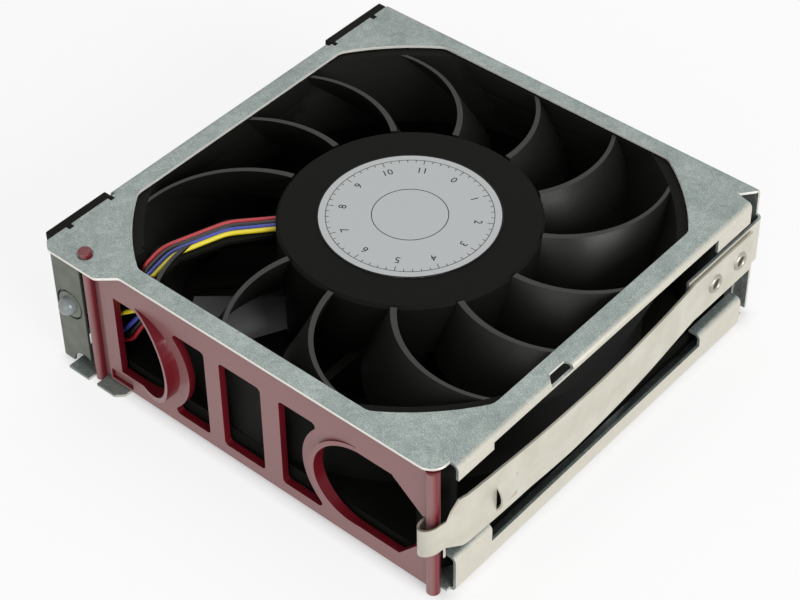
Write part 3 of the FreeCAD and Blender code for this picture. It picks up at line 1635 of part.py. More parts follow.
def make_fan_leads():
    """Four leads from the hub to the frame's corner, down its notch and back to the connector."""
    radius = sheet_value("lead_radius")
    top = trough_floor + size["lead_radius"] + 0.02
    aisle = -size["fan_half"] - 1.4
    rear_aisle = size["fan_half"] + 1.4
    entry = -size["connector_x"] - size["connector_half"] + 1
    leads = []
    for place, name in enumerate(("red_lead", "black_lead", "blue_lead", "yellow_lead")):
        turn, deepest, by_tube = lead_turns[place]
        inlet = lead_inlet(place)
        plan = lead_corners(place)
        points = [corner + (top,) for corner in plan]
        points += [
            plan[3] + (turn,), deepest, by_tube,
            (aisle, by_tube[1], by_tube[2]),
            (aisle, 0, by_tube[2]),
            (aisle, 40, inlet),
            (aisle, rear_aisle, inlet),
            (entry, rear_aisle, inlet),
        ]
        leads.append(make_lead(name, points, [12, 12, 1.8, 3, 5, 5, 3.4, 60, 60, 3.2], radius))
    return leads


def make_led_leads():
    """The lamp's two thin leads, back along the left wall to the connector."""
    radius = sheet_value("lead_radius") * 0.7
    start_y = -size["cage_half"] + 3.75
    leads = []
    for place, name in enumerate(("lamp_lead_upper", "lamp_lead_lower")):
        level = size["led_z"] + 1 - place * 2
        inlet = lamp_lead_inlet(place)
        aisle = -size["fan_half"] - 1.4
        points = [
            (aisle + 1.6, start_y, level),
            (aisle + 0.1, start_y + 9, level),
            (aisle, 0, level),
            (aisle, 40, inlet),
            (aisle, size["fan_half"] + 1.4, inlet),
            (-size["connector_x"] - size["connector_half"] + 1, size["fan_half"] + 1.4, inlet),
        ]
        leads.append(make_lead(name, points, [30, 60, 60, 3.2], radius))
    return leads


# ---------------------------------------------------------------- building and checking

pieces = [
    make_top_sheet(),
    make_base_sheet(),
    make_sheet_rivets(),
    make_guide_strip("front_guide_strip", -size["guide_front_y"], -size["guide_front_end"],
                     strip_tongues[:2]),
    make_guide_strip("rear_guide_strip", size["guide_rear_start"], size["guide_rear_end"],
                     strip_tongues[2:]),
    make_led_panel(),
    make_fan_pads(),
    make_fan_frame(),
    make_lower_flange(),
    make_upper_flange(),
    make_corner_tubes(),
    make_guide_vanes(),
    make_stator_hub(),
    make_lead_trough(),
    make_hub_label(),
    make_bearing_tube(),
    bearing_rings("bearing_outer_rings", race + size["running_gap"], size["tube_bore"]),
    bearing_rings("bearing_inner_rings", size["shaft_radius"], race),
    make_stator_core(),
    make_stator_windings(),
    make_stator_insulator(),
    make_motor_board(),
    make_rotor_yoke(),
    make_ring("magnet_ring", magnet_inside, yoke_inside, yoke_floor + 1.5, yoke_top - 1.2),
    make_ring("shaft", Size(0), size["shaft_radius"], cup_floor,
              bearing_high + size["bearing_width"] + 1.4),
    make_ring("shaft_clip", size["shaft_radius"], race - 0.2, bearing_high + size["bearing_width"],
              bearing_high + size["bearing_width"] + 0.8),
    make_impeller(),
    make_impeller_blades(),
    make_handle(),
    make_latch_spring(),
    make_spring_eyelets(),
    make_indicator_led(),
    make_led_holder(),
    make_connector_housing(),
    make_connector_contacts(),
]
pieces += make_fan_leads()
pieces += make_led_leads()
doc.recompute()

faults = [item.Name for item in doc.Objects if "Invalid" in item.State or "Error" in item.State]
for piece in pieces:
    shape = piece.Shape
    if shape.isNull() or not shape.isValid() or not shape.Solids:
        faults.append(piece.Label)
if faults:
    raise RuntimeError("pieces that did not build: " + ", ".join(faults))

os.makedirs("parts", exist_ok=True)
for piece in pieces:
    piece.Shape.exportStep("parts/" + piece.Label + ".step")
    print("%s: %d solid(s), %.0f cubic mm" % (piece.Label, len(piece.Shape.Solids), piece.Shape.Volume))
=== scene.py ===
import bmesh
import bpy
import json
import math
import numpy as np
from mathutils import Matrix, Vector


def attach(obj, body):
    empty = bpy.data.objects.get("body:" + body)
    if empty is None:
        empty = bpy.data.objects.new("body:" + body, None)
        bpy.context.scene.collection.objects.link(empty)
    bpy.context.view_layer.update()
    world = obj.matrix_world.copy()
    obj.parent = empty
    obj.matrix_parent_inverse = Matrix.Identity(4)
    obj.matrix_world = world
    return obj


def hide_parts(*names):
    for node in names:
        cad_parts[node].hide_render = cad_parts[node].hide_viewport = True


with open("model.json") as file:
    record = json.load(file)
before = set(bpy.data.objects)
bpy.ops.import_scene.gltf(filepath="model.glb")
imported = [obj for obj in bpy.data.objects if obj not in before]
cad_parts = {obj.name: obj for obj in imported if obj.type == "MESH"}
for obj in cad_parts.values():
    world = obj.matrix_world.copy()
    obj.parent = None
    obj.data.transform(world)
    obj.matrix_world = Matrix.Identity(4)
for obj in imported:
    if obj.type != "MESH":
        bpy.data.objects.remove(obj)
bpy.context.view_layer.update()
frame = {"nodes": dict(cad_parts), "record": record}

mm = 0.001  # sizes below are in millimetres, the frame is in metres
behaviour = frame["record"]["behaviour"]
bodyOf = {node: body for body, nodes in behaviour["bodies"].items() for node in nodes}
slotOf = {part["node"]: part["material_slot"] for part in frame["record"]["subparts"]}
jointAt = {joint["name"]: [value / mm for value in joint["pos_m"]] for joint in behaviour["joints"]}


def topOf(node):
    # height of a CAD node's highest point
    thing = frame["nodes"][node]
    return max((thing.matrix_world @ Vector(corner)).z for corner in thing.bound_box) / mm


def settle(thing, body):
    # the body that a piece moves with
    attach(thing, body)


def toLinear(hexColour):
    # sRGB hex text to a linear colour with full alpha
    parts = np.array([int(hexColour[i:i + 2], 16) for i in (1, 3, 5)]) / 255
    linear = np.where(parts <= 0.04045, parts / 12.92, ((parts + 0.055) / 1.055) ** 2.4)
    return tuple(linear) + (1.0,)


def addNode(tree, kind, links=None, inputs=None, stops=(), **settings):
    # adds one node: settings are its properties, inputs its own values, links the outputs that feed it,
    # and stops the (place, colour) pairs of a colour ramp
    node = tree.nodes.new(kind)
    for key, value in settings.items():
        setattr(node, key, value)
    for key, value in (inputs or {}).items():
        node.inputs[key].default_value = value
    for key, output in (links or {}).items():
        tree.links.new(output, node.inputs[key])
    for number, (place, colour) in enumerate(stops):
        band = node.color_ramp.elements[number] if number < 2 else node.color_ramp.elements.new(place)
        band.position = place
        band.color = toLinear(colour)
    return node


def startMaterial(name, colour, metallic, roughness, ior=None, specular=0.5):
    # an even surface, which the patterned finishes go on from
    material = bpy.data.materials.new(name)
    material.use_nodes = True
    tree = material.node_tree
    shader = tree.nodes["Principled BSDF"]
    shader.inputs["Base Color"].default_value = toLinear(colour)
    shader.inputs["Metallic"].default_value = metallic
    shader.inputs["Roughness"].default_value = roughness
    shader.inputs["Specular IOR Level"].default_value = specular
    if ior:
        shader.inputs["IOR"].default_value = ior
    return material, tree, shader


# finishes: one for each slot of the part, with sizes of grain and patches in mm

# the last four entries paint a warm bright tone on faces towards +X, as painted light
zincLook = {"pale": "#A3ABA7", "mid": "#87918D", "dark": "#6F7975", "metal": 0.4, "roughness": 0.42,
            "spangleMm": 1.2, "grainMm": 0.36, "cloudMm": 9, "spangleShare": 0.15, "cloudShare": 0.22,
            "darkBelow": 0.36, "midAt": 0.5, "paleAbove": 0.64, "pitDeepMm": 0.05, "pitStrength": 0.08,
            "paintedLight": "#D6CFC0", "paintedLightFrom": 0.25, "paintedLightFull": 0.95, "paintedLightShare": 0.75}


def galvanisedSteel():
    # hot-dip galvanised sheet: zinc that has set in small crystals looks grey-green, cloudy and grainy;
    # the grain is drawn coarser than the real one, so that it shows
    look = zincLook
    material, tree, shader = startMaterial("galvanisedSteel", look["pale"], look["metal"], look["roughness"])
    here = addNode(tree, "ShaderNodeTexCoord")
    point = here.outputs["Object"]
    crystal = addNode(tree, "ShaderNodeTexVoronoi", {"Vector": point},
                      {"Scale": 1 / (look["spangleMm"] * mm)})
    grain = addNode(tree, "ShaderNodeTexNoise", {"Vector": point},
                    {"Scale": 1 / (look["grainMm"] * mm), "Detail": 4.0})
    cloud = addNode(tree, "ShaderNodeTexNoise", {"Vector": point},
                    {"Scale": 1 / (look["cloudMm"] * mm), "Detail": 2.0})
    spangled = addNode(tree, "ShaderNodeMix", {"A": grain.outputs["Fac"], "B": crystal.outputs["Color"]},
                       {"Factor": look["spangleShare"]}, data_type="FLOAT")
    clouded = addNode(tree, "ShaderNodeMix", {"A": spangled.outputs["Result"], "B": cloud.outputs["Fac"]},
                      {"Factor": look["cloudShare"]}, data_type="FLOAT")
    tone = addNode(tree, "ShaderNodeValToRGB", {"Fac": clouded.outputs["Result"]},
                   stops=[(look["darkBelow"], look["dark"]), (look["midAt"], look["mid"]),
                          (look["paleAbove"], look["pale"])])
    # faces towards +X are mixed towards a warm bright tone: painted light from the lamp on the right
    facing = addNode(tree, "ShaderNodeSeparateXYZ", {"Vector": here.outputs["Normal"]})
    paintedLit = addNode(tree, "ShaderNodeMapRange", {"Value": facing.outputs["X"]},
                   {"From Min": look["paintedLightFrom"], "From Max": look["paintedLightFull"],
                    "To Max": look["paintedLightShare"]})
    colour = addNode(tree, "ShaderNodeMix", {"Factor": paintedLit.outputs["Result"], "A": tone.outputs["Color"]},
                     {"B": toLinear(look["paintedLight"])}, data_type="RGBA")
    tree.links.new(colour.outputs["Result"], shader.inputs["Base Color"])
    pits = addNode(tree, "ShaderNodeBump", {"Height": grain.outputs["Fac"]},
                   {"Strength": look["pitStrength"], "Distance": look["pitDeepMm"] * mm})
    tree.links.new(pits.outputs["Normal"], shader.inputs["Normal"])
    return material


def plainFinish(name, colour, metallic, roughness, specular=0.5):
    # for what is small, even or hidden inside the fan
    return startMaterial(name, colour, metallic, roughness, specular=specular)[0]


def wornSheet(name, pale, dark, patchMm, metallic, roughness):
    # rolled sheet under a thin coat: its tone drifts slowly from patch to patch, over faint waves
    material, tree, shader = startMaterial(name, pale, metallic, roughness)
    point = addNode(tree, "ShaderNodeTexCoord").outputs["Object"]
    cloud = addNode(tree, "ShaderNodeTexNoise", {"Vector": point},
                    {"Scale": 1 / (patchMm * mm), "Detail": 5.0})
    tone = addNode(tree, "ShaderNodeValToRGB", {"Fac": cloud.outputs["Fac"]},
                   stops=[(0.35, dark), (0.65, pale)])
    tree.links.new(tone.outputs["Color"], shader.inputs["Base Color"])
    waves = addNode(tree, "ShaderNodeBump", {"Height": cloud.outputs["Fac"]},
                    {"Strength": 0.05, "Distance": 0.04 * mm})
    tree.links.new(waves.outputs["Normal"], shader.inputs["Normal"])
    return material


def mouldedPlastic(name, colour, roughness, grainMm, depthMm=0.04, specular=0.5):
    # injection-moulded plastic: the eroded grain of its mould breaks its shine up; the grain is drawn
    # coarser than the real one, so that it shows
    material, tree, shader = startMaterial(name, colour, 0.0, roughness, 1.5, specular)
    point = addNode(tree, "ShaderNodeTexCoord").outputs["Object"]
    grain = addNode(tree, "ShaderNodeTexNoise", {"Vector": point},
                    {"Scale": 1 / (grainMm * mm), "Detail": 2.0})
    bump = addNode(tree, "ShaderNodeBump", {"Height": grain.outputs["Fac"]},
                   {"Strength": 0.2, "Distance": depthMm * mm})
    tree.links.new(bump.outputs["Normal"], shader.inputs["Normal"])
    return material


# the pale tone on faces towards -Y is painted sheen, not the plastic's own colour
handleLook = {"deep": "#650F1B", "paintedSheenTone": "#8B6262", "roughness": 0.34, "sheenGrainMm": 0.7, "grainDeepMm": 0.03,
              "grainStrength": 0.12, "paintedSheenFrom": -0.45, "paintedSheenFull": -0.97, "paintedSheenLeast": 0.82}


def dustedBurgundy():
    # moulded ABS, deep burgundy in its walls; faces towards -Y are mixed towards a pale pink, a painted sheen
    # of the bright front, broken up by a fine grain
    look = handleLook
    material, tree, shader = startMaterial("mouldedAbsBurgundy", look["deep"], 0.0, look["roughness"], 1.5)
    here = addNode(tree, "ShaderNodeTexCoord")
    facing = addNode(tree, "ShaderNodeSeparateXYZ", {"Vector": here.outputs["Normal"]})
    forwards = addNode(tree, "ShaderNodeMapRange", {"Value": facing.outputs["Y"]},
                       {"From Min": look["paintedSheenFrom"], "From Max": look["paintedSheenFull"]})
    grain = addNode(tree, "ShaderNodeTexNoise", {"Vector": here.outputs["Object"]},
                    {"Scale": 1 / (look["sheenGrainMm"] * mm), "Detail": 4.0})
    sheenGrain = addNode(tree, "ShaderNodeMapRange", {"Value": grain.outputs["Fac"]},
                        {"To Min": look["paintedSheenLeast"]})
    paintedSheen = addNode(tree, "ShaderNodeMath", {0: forwards.outputs["Result"], 1: sheenGrain.outputs["Result"]},
                    operation="MULTIPLY")
    colour = addNode(tree, "ShaderNodeMix", {"Factor": paintedSheen.outputs["Value"]},
                     {"A": toLinear(look["deep"]), "B": toLinear(look["paintedSheenTone"])}, data_type="RGBA")
    tree.links.new(colour.outputs["Result"], shader.inputs["Base Color"])
    bump = addNode(tree, "ShaderNodeBump", {"Height": grain.outputs["Fac"]},
                   {"Strength": look["grainStrength"], "Distance": look["grainDeepMm"] * mm})
    tree.links.new(bump.outputs["Normal"], shader.inputs["Normal"])
    return material


def diffusedLens():
    # cast epoxy with a diffuser in it: smoky and glossy
    material, tree, shader = startMaterial("diffusedEpoxy", "#A9B2B2", 0.0, 0.12, 1.5)
    shader.inputs["Transmission Weight"].default_value = 0.45
    return material


finishes = {
    "galvanised_sheet": galvanisedSteel(),
    # the sheet steel again in a darker, dull olive grey: a copy of the galvanised sheet in painted shade
    "dull_sheet": wornSheet("sheetInPaintedShade", "#6E7368", "#5F655B", patchMm=5, metallic=0.35, roughness=0.5),
    "rivet_steel": plainFinish("nickelPlatedSteel", "#A8A498", 0.85, 0.35),  # a warm, blurred shine
    # nickel on cold-rolled spring strip, pale and silky
    "spring_steel": wornSheet("nickelPlatedSpring", "#CAC7BA", "#BFBBAC", patchMm=7, metallic=0.55,
                              roughness=0.38),
    "bearing_steel": plainFinish("groundBearingSteel", "#D0D0D0", 1.0, 0.18),  # ground to a sharp shine
    "lamination_steel": plainFinish("laminatedSteel", "#6A6A6C", 0.8, 0.5),  # punched and varnished dark
    "copper_wire": plainFinish("enamelledCopper", "#B8683A", 0.9, 0.3),  # glossy orange under clear enamel
    "brass_tube": plainFinish("turnedBrass", "#C9A45A", 1.0, 0.3),  # fresh from the lathe, bright yellow
    "magnet": plainFinish("bondedFerrite", "#262626", 0.0, 0.6),  # powder in resin, matte near-black
    "circuit_board": plainFinish("glassEpoxyBoard", "#1F5A33", 0.0, 0.4),  # an even green lacquer
    "white_nylon": plainFinish("mouldedNylon", "#E0DED2", 0.0, 0.5),  # milky, with little gloss
    # moulded PBT, a dull black that hardly mirrors
    "black_plastic": mouldedPlastic("mouldedPbt", "#151613", roughness=0.5, grainMm=0.5, specular=0.035),
    # moulded nylon, a soft greenish grey
    "grey_plastic": mouldedPlastic("mouldedNylonGrey", "#6C7167", roughness=0.45, grainMm=0.4),
    "burgundy_plastic": dustedBurgundy(),
    "black_rubber": plainFinish("nitrileRubber", "#1A1A1A", 0.0, 0.75),  # cut from sheet, no shine
    "label_film": plainFinish("polyesterLabel", "#B6B9B9", 0.0, 0.5, specular=0.3),  # matte silver film
    "lamp_lens": diffusedLens(),
    # extruded PVC with an even gloss
    "red_insulation": plainFinish("pvcRed", "#B32B32", 0.0, 0.35),
    "black_insulation": plainFinish("pvcBlack", "#141414", 0.0, 0.35),
    "blue_insulation": plainFinish("pvcBlue", "#38439C", 0.0, 0.35),
    "yellow_insulation": plainFinish("pvcYellow", "#E2CF2A", 0.0, 0.35),
    "white_insulation": plainFinish("pvcWhite", "#DCDCD6", 0.0, 0.35),
}
# blades and vanes are a glass-filled grade that shines more than the frame's plastic
bladeSatin = mouldedPlastic("glassFilledPbt", "#171714", roughness=0.36, grainMm=0.45, depthMm=0.08,
                            specular=0.3)
# flat black for the label's print, also used as painted shade inside the eyelets
inkAndShade = plainFinish("printedInkAndPaintedShade", "#1B1C1C", 0.0, 0.6, specular=0.1)  # flat black
plateEdgeHighlight = plainFinish("paintedEdgeHighlight", "#E6E4DC", 0.3, 0.4)  # painted highlight on the sheared edge, brighter than the zinc
for node, thing in frame["nodes"].items():
    thing.data.materials.clear()
    thing.data.materials.append(finishes[slotOf[node]])
print("finishes on", len(frame["nodes"]), "nodes")


# dressed copies: the same solids with merged corners, soft edges and smooth shading; each width is that
# of the node's soft edges, and a node at 0 keeps its edges
edgeMm = {"top_sheet": 0.12, "base_sheet": 0.12, "led_panel": 0.1, "latch_spring": 0.08, "handle": 0.28,
          "fan_frame": 0, "lower_flange": 0, "upper_flange": 0, "corner_tubes": 0, "guide_vanes": 0.3,
          "stator_hub": 0.35, "impeller": 0.4, "impeller_blades": 0.4, "front_guide_strip": 0.3,
          "rear_guide_strip": 0.3, "sheet_rivets": 0.25, "led_holder": 0.15, "indicator_led": 0,
          "hub_label": 0, "connector_housing": 0.25, "connector_contacts": 0.1, "fan_pads": 0.3,
          "lead_trough": 0.15, "red_lead": 0, "black_lead": 0, "blue_lead": 0, "yellow_lead": 0,
          "lamp_lead_upper": 0, "lamp_lead_lower": 0, "rotor_yoke": 0.15}
dressing = {"joinMm": 0.002, "flatDegrees": 0.3, "sharpDegrees": 28, "bevelDegrees": 32, "bevelSteps": 2,
            "satin": ("impeller_blades", "guide_vanes")}
plateEdge = {"plateMm": 0.8, "marginMm": 0.05, "uprightBelow": 0.3}


def mergedCopy(node):
    # joins the loose triangles of a CAD node and melts its flat faces back into whole ones
    source = frame["nodes"][node]
    work = bmesh.new()
    work.from_mesh(source.data)
    work.transform(source.matrix_world)
    bmesh.ops.remove_doubles(work, verts=work.verts, dist=dressing["joinMm"] * mm)
    bmesh.ops.dissolve_degenerate(work, edges=work.edges, dist=dressing["joinMm"] * mm)
    bmesh.ops.dissolve_limit(work, angle_limit=math.radians(dressing["flatDegrees"]), verts=work.verts,
                             edges=work.edges, delimit={"MATERIAL"})
    mesh = bpy.data.meshes.new(node + "Dressed")
    work.to_mesh(mesh)
    work.free()
    mesh.shade_smooth()
    mesh.set_sharp_from_angle(angle=math.radians(dressing["sharpDegrees"]))
    copy = bpy.data.objects.new(node + "Dressed", mesh)
    bpy.context.collection.objects.link(copy)
    mesh.materials.append(bladeSatin if node in dressing["satin"] else finishes[slotOf[node]])
    return copy


def brightenPlateEdge(copy):
    # the upright faces at the height of the top plate are its sheared edge, drawn in a bright pale tone as a
    # painted highlight
    mesh = copy.data
    mesh.materials.append(plateEdgeHighlight)
    middle = np.empty(3 * len(mesh.polygons))
    facing = np.empty(3 * len(mesh.polygons))
    mesh.polygons.foreach_get("center", middle)
    mesh.polygons.foreach_get("normal", facing)
    onPlate = middle[2::3] / mm > topOf("top_sheet") - plateEdge["plateMm"] + plateEdge["marginMm"]
    upright = np.abs(facing[2::3]) < plateEdge["uprightBelow"]
    mesh.polygons.foreach_set("material_index", (onPlate & upright).astype(np.int32))


def softEdges(copy, width):
    bevel = copy.modifiers.new("softEdges", "BEVEL")
    bevel.width = width * mm
    bevel.segments = dressing["bevelSteps"]
    bevel.limit_method = "ANGLE"
    bevel.angle_limit = math.radians(dressing["bevelDegrees"])
    bevel.use_clamp_overlap = True
    bevel.harden_normals = True


for node, width in edgeMm.items():
    copy = mergedCopy(node)
    if node == "top_sheet":
        brightenPlateEdge(copy)
    if width:
        softEdges(copy, width)
    settle(copy, bodyOf[node])
    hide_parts(node)
print("dressed", len(edgeMm), "nodes")


def turnedSolid(name, profile, origin, axis, material, steps=64, joinMm=0.0005, sharpDegrees=35):
    # a closed profile of (radius, height) pairs carried once round the axis through the origin:
    # point = origin + height * axis + radius * (cos t * across + sin t * along)
    profile = np.array(profile) * mm
    axis = np.array(axis, dtype=float)
    across = np.cross(axis, [0, 0, 1]) if abs(axis[2]) < 0.9 else np.array([1.0, 0, 0])
    across = across / np.linalg.norm(across)
    along = np.cross(axis, across)
    turn = np.linspace(0, 2 * np.pi, steps, endpoint=False)[:, None, None]
    circle = np.cos(turn) * across + np.sin(turn) * along
    points = np.array(origin) * mm + profile[None, :, 1:2] * axis + profile[None, :, 0:1] * circle
    count = len(profile)
    index = np.arange(steps * count).reshape(steps, count)
    ahead, over = np.roll(index, -1, axis=0), np.roll(index, -1, axis=1)
    both = np.roll(ahead, -1, axis=1)
    faces = np.stack([index, ahead, both, over], axis=-1).reshape(-1, 4)
    mesh = bpy.data.meshes.new(name)
    mesh.from_pydata(points.reshape(-1, 3).tolist(), [], faces.tolist())
    mesh.materials.append(material)
    work = bmesh.new()
    work.from_mesh(mesh)
    bmesh.ops.remove_doubles(work, verts=work.verts, dist=joinMm * mm)  # closes the poles
    bmesh.ops.recalc_face_normals(work, faces=work.faces)
    work.to_mesh(mesh)
    work.free()
    mesh.shade_smooth()
    mesh.set_sharp_from_angle(angle=math.radians(sharpDegrees))
    thing = bpy.data.objects.new(name, mesh)
    bpy.context.collection.objects.link(thing)
    return thing


pivot = {"radius": 1.74, "sunk": 0.2, "proud": 0.65, "blend": 0.35, "arcSteps": 6}


def pivotCap():
    # raised end of the handle's left post: a disc whose upper rim is an arc,
    # radius = inner + blend * cos t and height = shoulder + blend * sin t, for t from 0 to 90 degrees
    low, high = topOf("handle") - pivot["sunk"], topOf("handle") + pivot["proud"]
    inner, shoulder = pivot["radius"] - pivot["blend"], high - pivot["blend"]
    turn = np.linspace(0, np.pi / 2, pivot["arcSteps"])
    rim = np.stack([inner + pivot["blend"] * np.cos(turn), shoulder + pivot["blend"] * np.sin(turn)], axis=1)
    profile = np.vstack([[(0, low), (pivot["radius"], low)], rim, [(0, high)]])
    x, y = jointAt["handle_pivot"][:2]
    return turnedSolid("pivotCap", profile, (x, y, 0), (0, 0, 1), finishes["burgundy_plastic"])


settle(pivotCap(), "handle")

# the two eyelets stand at the same height z; inside and face are where the held sheets begin and end in x
eyelet = {"places": (42.0, 53.0), "z": 26.6, "inside": 62.88, "face": 64.92, "bore": 1.4, "barrel": 1.7,
          "flange": 2.65, "flare": 0.6, "bead": 0.62, "beadSteps": 10}
# a flat black disc in each eyelet's bore is painted shade
boreShade = {"low": 0.4, "high": 0.9, "over": 0.1}


def rolledEyelet(place):
    # barrel with a flat flare inside and its outer end rolled into a round bead,
    # radius = middle + reach * cos t and height = face + bead * sin t, for t from 180 to 0 degrees
    bore, flange, inside, face = (eyelet[key] for key in ("bore", "flange", "inside", "face"))
    middle, reach = (bore + flange) / 2, (flange - bore) / 2
    turn = np.linspace(np.pi, 0, eyelet["beadSteps"])
    bead = np.stack([middle + reach * np.cos(turn), face + eyelet["bead"] * np.sin(turn)], axis=1)
    low = inside - eyelet["flare"]
    profile = np.vstack([[(bore, low)], bead, [(eyelet["barrel"], face), (eyelet["barrel"], inside),
                                               (flange, inside), (flange, low)]])
    return turnedSolid("eyelet%d" % place, profile, (0, place, eyelet["z"]), (1, 0, 0),
                       finishes["rivet_steel"])


def eyeletCore(place):
    # a flat black disc deep in the barrel, overlapping the bore by a little: painted shade inside the eyelet
    low, high = eyelet["inside"] + boreShade["low"], eyelet["inside"] + boreShade["high"]
    radius = eyelet["bore"] + boreShade["over"]
    profile = [(0, low), (radius, low), (radius, high), (0, high)]
    return turnedSolid("eyeletCore%d" % place, profile, (0, place, eyelet["z"]), (1, 0, 0), inkAndShade)


for place in eyelet["places"]:
    rolled = rolledEyelet(place)
    settle(rolled, "latch")
    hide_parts("spring_eyelets")
    settle(eyeletCore(place), "latch")
print("turned pieces ready")

# the label's print: rings as (inner, outer) radii, ticks on the dial ring, and plain numbers inside it
labelPrint = {"rings": {"labelBorder": (23.1, 23.5), "labelInner": (9.6, 9.8), "labelDial": (21.2, 21.35)},
              "ticks": 60, "longEvery": 5, "tickLong": 1.6, "tickShort": 0.8, "tickWide": 0.16,
              "numbers": 12, "numberSize": 3.0, "numberRadius": 17.2, "proud": 0.02, "gap": 0.005}


def flatRing(name, radii, level, thick, material, middle=(0, 0)):
    inner, outer = radii
    profile = [(inner, level), (outer, level), (outer, level + thick), (inner, level + thick)]
    return turnedSolid(name, profile, (middle[0], middle[1], 0), (0, 0, 1), material, steps=96)


def dialTicks(level):
    # tick k is a bar at the turn 360 * k / ticks, from the dial ring inwards; every fifth one is longer
    look = labelPrint
    outer = look["rings"]["labelDial"][0]
    number = np.arange(look["ticks"])
    turn = number * 2 * np.pi / look["ticks"]
    length = np.where(number % look["longEvery"] == 0, look["tickLong"], look["tickShort"])
    way = np.stack([np.cos(turn), np.sin(turn)], axis=1)
    side = np.stack([-np.sin(turn), np.cos(turn)], axis=1) * look["tickWide"] / 2
    near, far = way * (outer - length)[:, None], way * outer
    flat = np.stack([near - side, far - side, far + side, near + side], axis=1)
    low = np.concatenate([flat, np.full(flat.shape[:2] + (1,), level)], axis=2)
    high = low + [0, 0, look["proud"]]
    points = np.concatenate([low, high], axis=1).reshape(-1, 3) * mm
    oneBar = np.array([(3, 2, 1, 0), (4, 5, 6, 7), (0, 1, 5, 4), (1, 2, 6, 5), (2, 3, 7, 6), (3, 0, 4, 7)])
    faces = (oneBar[None] + 8 * number[:, None, None]).reshape(-1, 4)
    mesh = bpy.data.meshes.new("dialTicks")
    mesh.from_pydata(points.tolist(), [], faces.tolist())
    mesh.materials.append(inkAndShade)
    thing = bpy.data.objects.new("dialTicks", mesh)
    bpy.context.collection.objects.link(thing)
    return thing


def dialNumber(number, level):
    # one number of the dial, as on a clock with 0 at the rear, its foot towards the fan's axis
    look = labelPrint
    name = "number%d" % number
    curve = bpy.data.curves.new(name, "FONT")
    curve.body = str(number)
    curve.size = look["numberSize"] * mm
    curve.align_x = "CENTER"
    curve.align_y = "CENTER"
    curve.extrude = look["proud"] * mm / 2
    curve.resolution_u = 3
    text = bpy.data.objects.new(name, curve)
    bpy.context.collection.objects.link(text)
    graph = bpy.context.evaluated_depsgraph_get()
    mesh = bpy.data.meshes.new_from_object(text.evaluated_get(graph))
    bpy.data.objects.remove(text)
    turn = math.radians(90 - 360 / look["numbers"] * number)
    spot = Vector((math.cos(turn) * look["numberRadius"], math.sin(turn) * look["numberRadius"], level)) * mm
    mesh.transform(Matrix.Translation(spot) @ Matrix.Rotation(turn - math.pi / 2, 4, "Z"))
    mesh.materials.clear()
    mesh.materials.append(inkAndShade)
    thing = bpy.data.objects.new(name, mesh)
    bpy.context.collection.objects.link(thing)
    return thing


labelTop = topOf("hub_label") + labelPrint["gap"]
prints = [flatRing(name, radii, labelTop, labelPrint["proud"], inkAndShade)
          for name, radii in labelPrint["rings"].items()]
prints.append(dialTicks(labelTop))
prints += [dialNumber(number, labelTop) for number in range(labelPrint["numbers"])]
for thing in prints:
    settle(thing, "cage")

# the round trace of an ejector pin on the hub's face, beside the label
hubMark = {"middle": (-20.9, 16.5), "radii": (0.75, 1.05), "thick": 0.08, "sunk": 0.05}
mark = flatRing("ejectorMark", hubMark["radii"], topOf("stator_hub") - hubMark["sunk"], hubMark["thick"],
                finishes["black_plastic"], hubMark["middle"])
settle(mark, "cage")
print("label printed with", len(prints), "marks")


# studio: a pale floor, an even white world and three soft lamps, in metres and watts
studio = {"floorHalf": 3.0, "floorDrop": 0.2 * mm, "floorColour": "#F4F4F4", "floorGlow": 0.8,
          "shadeHalf": 66 * mm, "shadeFade": 8 * mm, "worldStrength": 0.5}
lamps = {"keyLight": {"place": (1.5, -0.25, 0.65), "wide": 0.9, "power": 19},
         "frontFill": {"place": (0.5, -1.5, 0.45), "wide": 1.0, "power": 5},
         "topLight": {"place": (-0.5, 0.6, 1.4), "wide": 1.0, "power": 4}}


def seenRays(tree):
    # 1 for rays from the camera, from reflections and through the lens, 0 for light on a matte surface
    path = addNode(tree, "ShaderNodeLightPath")
    direct = addNode(tree, "ShaderNodeMath",
                     {0: path.outputs["Is Camera Ray"], 1: path.outputs["Is Glossy Ray"]},
                     operation="MAXIMUM")
    seen = addNode(tree, "ShaderNodeMath",
                   {0: direct.outputs["Value"], 1: path.outputs["Is Transmission Ray"]},
                   operation="MAXIMUM")
    return seen.outputs["Value"]


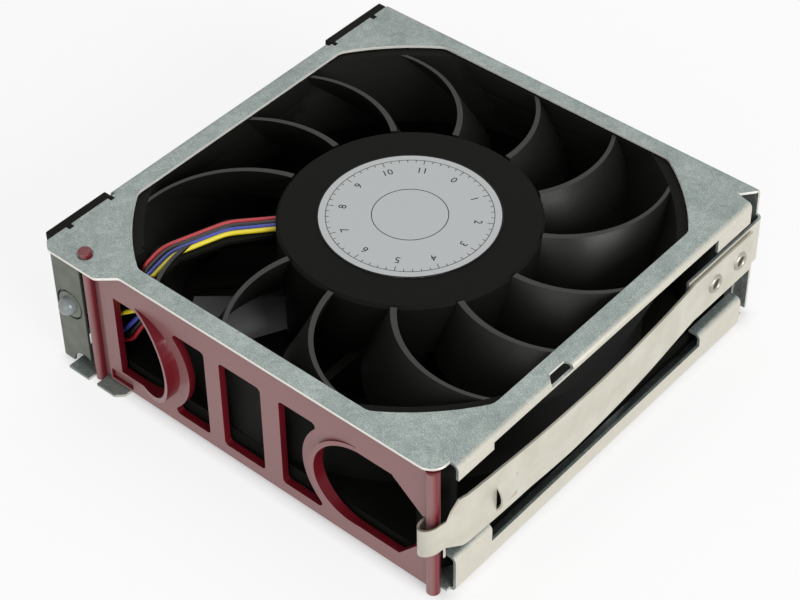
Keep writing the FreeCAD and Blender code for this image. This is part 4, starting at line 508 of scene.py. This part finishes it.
def paperFloor():
    # matte paper that looks near white wherever it is seen, except under the object
    material = bpy.data.materials.new("paperFloor")
    material.use_nodes = True
    tree = material.node_tree
    tree.nodes.clear()
    # how far a point lies from the middle, as the larger of its x and y, decides its share of the white
    spot = addNode(tree, "ShaderNodeSeparateXYZ",
                   {"Vector": addNode(tree, "ShaderNodeTexCoord").outputs["Object"]})
    across = addNode(tree, "ShaderNodeMath", {0: spot.outputs["X"]}, operation="ABSOLUTE")
    along = addNode(tree, "ShaderNodeMath", {0: spot.outputs["Y"]}, operation="ABSOLUTE")
    outward = addNode(tree, "ShaderNodeMath", {0: across.outputs["Value"], 1: along.outputs["Value"]},
                      operation="MAXIMUM")
    clear = addNode(tree, "ShaderNodeMapRange", {"Value": outward.outputs["Value"]},
                    {"From Min": studio["shadeHalf"] - studio["shadeFade"], "From Max": studio["shadeHalf"],
                     "To Max": studio["floorGlow"]})
    share = addNode(tree, "ShaderNodeMath", {0: seenRays(tree), 1: clear.outputs["Result"]},
                    operation="MULTIPLY")
    matte = addNode(tree, "ShaderNodeBsdfDiffuse", inputs={"Color": toLinear(studio["floorColour"])})
    glow = addNode(tree, "ShaderNodeEmission", inputs={"Strength": 1.0})
    paper = addNode(tree, "ShaderNodeMixShader",
                    {0: share.outputs["Value"], 1: matte.outputs["BSDF"], 2: glow.outputs["Emission"]})
    addNode(tree, "ShaderNodeOutputMaterial", {"Surface": paper.outputs["Shader"]})
    return material


def makeFloor():
    half = studio["floorHalf"]
    mesh = bpy.data.meshes.new("floor")
    mesh.from_pydata([(-half, -half, 0), (half, -half, 0), (half, half, 0), (-half, half, 0)], [],
                     [(0, 1, 2, 3)])
    mesh.materials.append(paperFloor())
    floor = bpy.data.objects.new("floor", mesh)
    floor.location.z = -studio["floorDrop"]
    bpy.context.collection.objects.link(floor)


def makeWorld():
    # white where it is seen, dimmer as light on the object
    world = bpy.data.worlds.new("studioWorld")
    bpy.context.scene.world = world
    world.use_nodes = True
    tree = world.node_tree
    tree.nodes.clear()
    strength = addNode(tree, "ShaderNodeMix", {"Factor": seenRays(tree)},
                       {"A": studio["worldStrength"], "B": 1.0}, data_type="FLOAT")
    light = addNode(tree, "ShaderNodeBackground", {"Strength": strength.outputs["Result"]},
                    {"Color": (1, 1, 1, 1)})
    addNode(tree, "ShaderNodeOutputWorld", {"Surface": light.outputs["Background"]})


def softLamp(name, place, wide, power):
    # a square lamp that faces the frame's origin
    data = bpy.data.lights.new(name, "AREA")
    data.shape = "SQUARE"
    data.size = wide
    data.energy = power
    lamp = bpy.data.objects.new(name, data)
    lamp.location = place
    lamp.rotation_euler = (-Vector(place)).to_track_quat("-Z", "Y").to_euler()
    bpy.context.collection.objects.link(lamp)


makeFloor()
makeWorld()
for name, values in lamps.items():
    softLamp(name, **values)
print("studio ready")

# the camera goes round the middle of the top plate: angles in degrees, lens and sensor in mm
view = {"azimuth": 40.753, "elevation": 40.991, "roll": -0.612, "distance": 553.1 * mm,
        "lookAt": (0, 0, 42.5 * mm), "lens": 99.38, "sensor": 36, "shiftX": -0.0126, "shiftY": -0.1105}


def makeCamera():
    azimuth, elevation, roll = (math.radians(view[key]) for key in ("azimuth", "elevation", "roll"))
    back = Vector((math.sin(azimuth) * math.cos(elevation), -math.cos(azimuth) * math.cos(elevation),
                   math.sin(elevation)))
    level = Vector((0, 0, 1)).cross(back).normalized()
    above = back.cross(level)
    right = level * math.cos(roll) + above * math.sin(roll)
    up = above * math.cos(roll) - level * math.sin(roll)
    data = bpy.data.cameras.new("camera")
    data.sensor_width = view["sensor"]
    data.lens = view["lens"]
    data.shift_x = view["shiftX"]
    data.shift_y = view["shiftY"]
    camera = bpy.data.objects.new("camera", data)
    place = Matrix.Translation(Vector(view["lookAt"]) + back * view["distance"])
    camera.matrix_world = place @ Matrix((right, up, back)).transposed().to_4x4()
    bpy.context.collection.objects.link(camera)
    bpy.context.scene.camera = camera


makeCamera()
print("camera ready")
bpy.context.scene.view_settings.view_transform = "Standard"
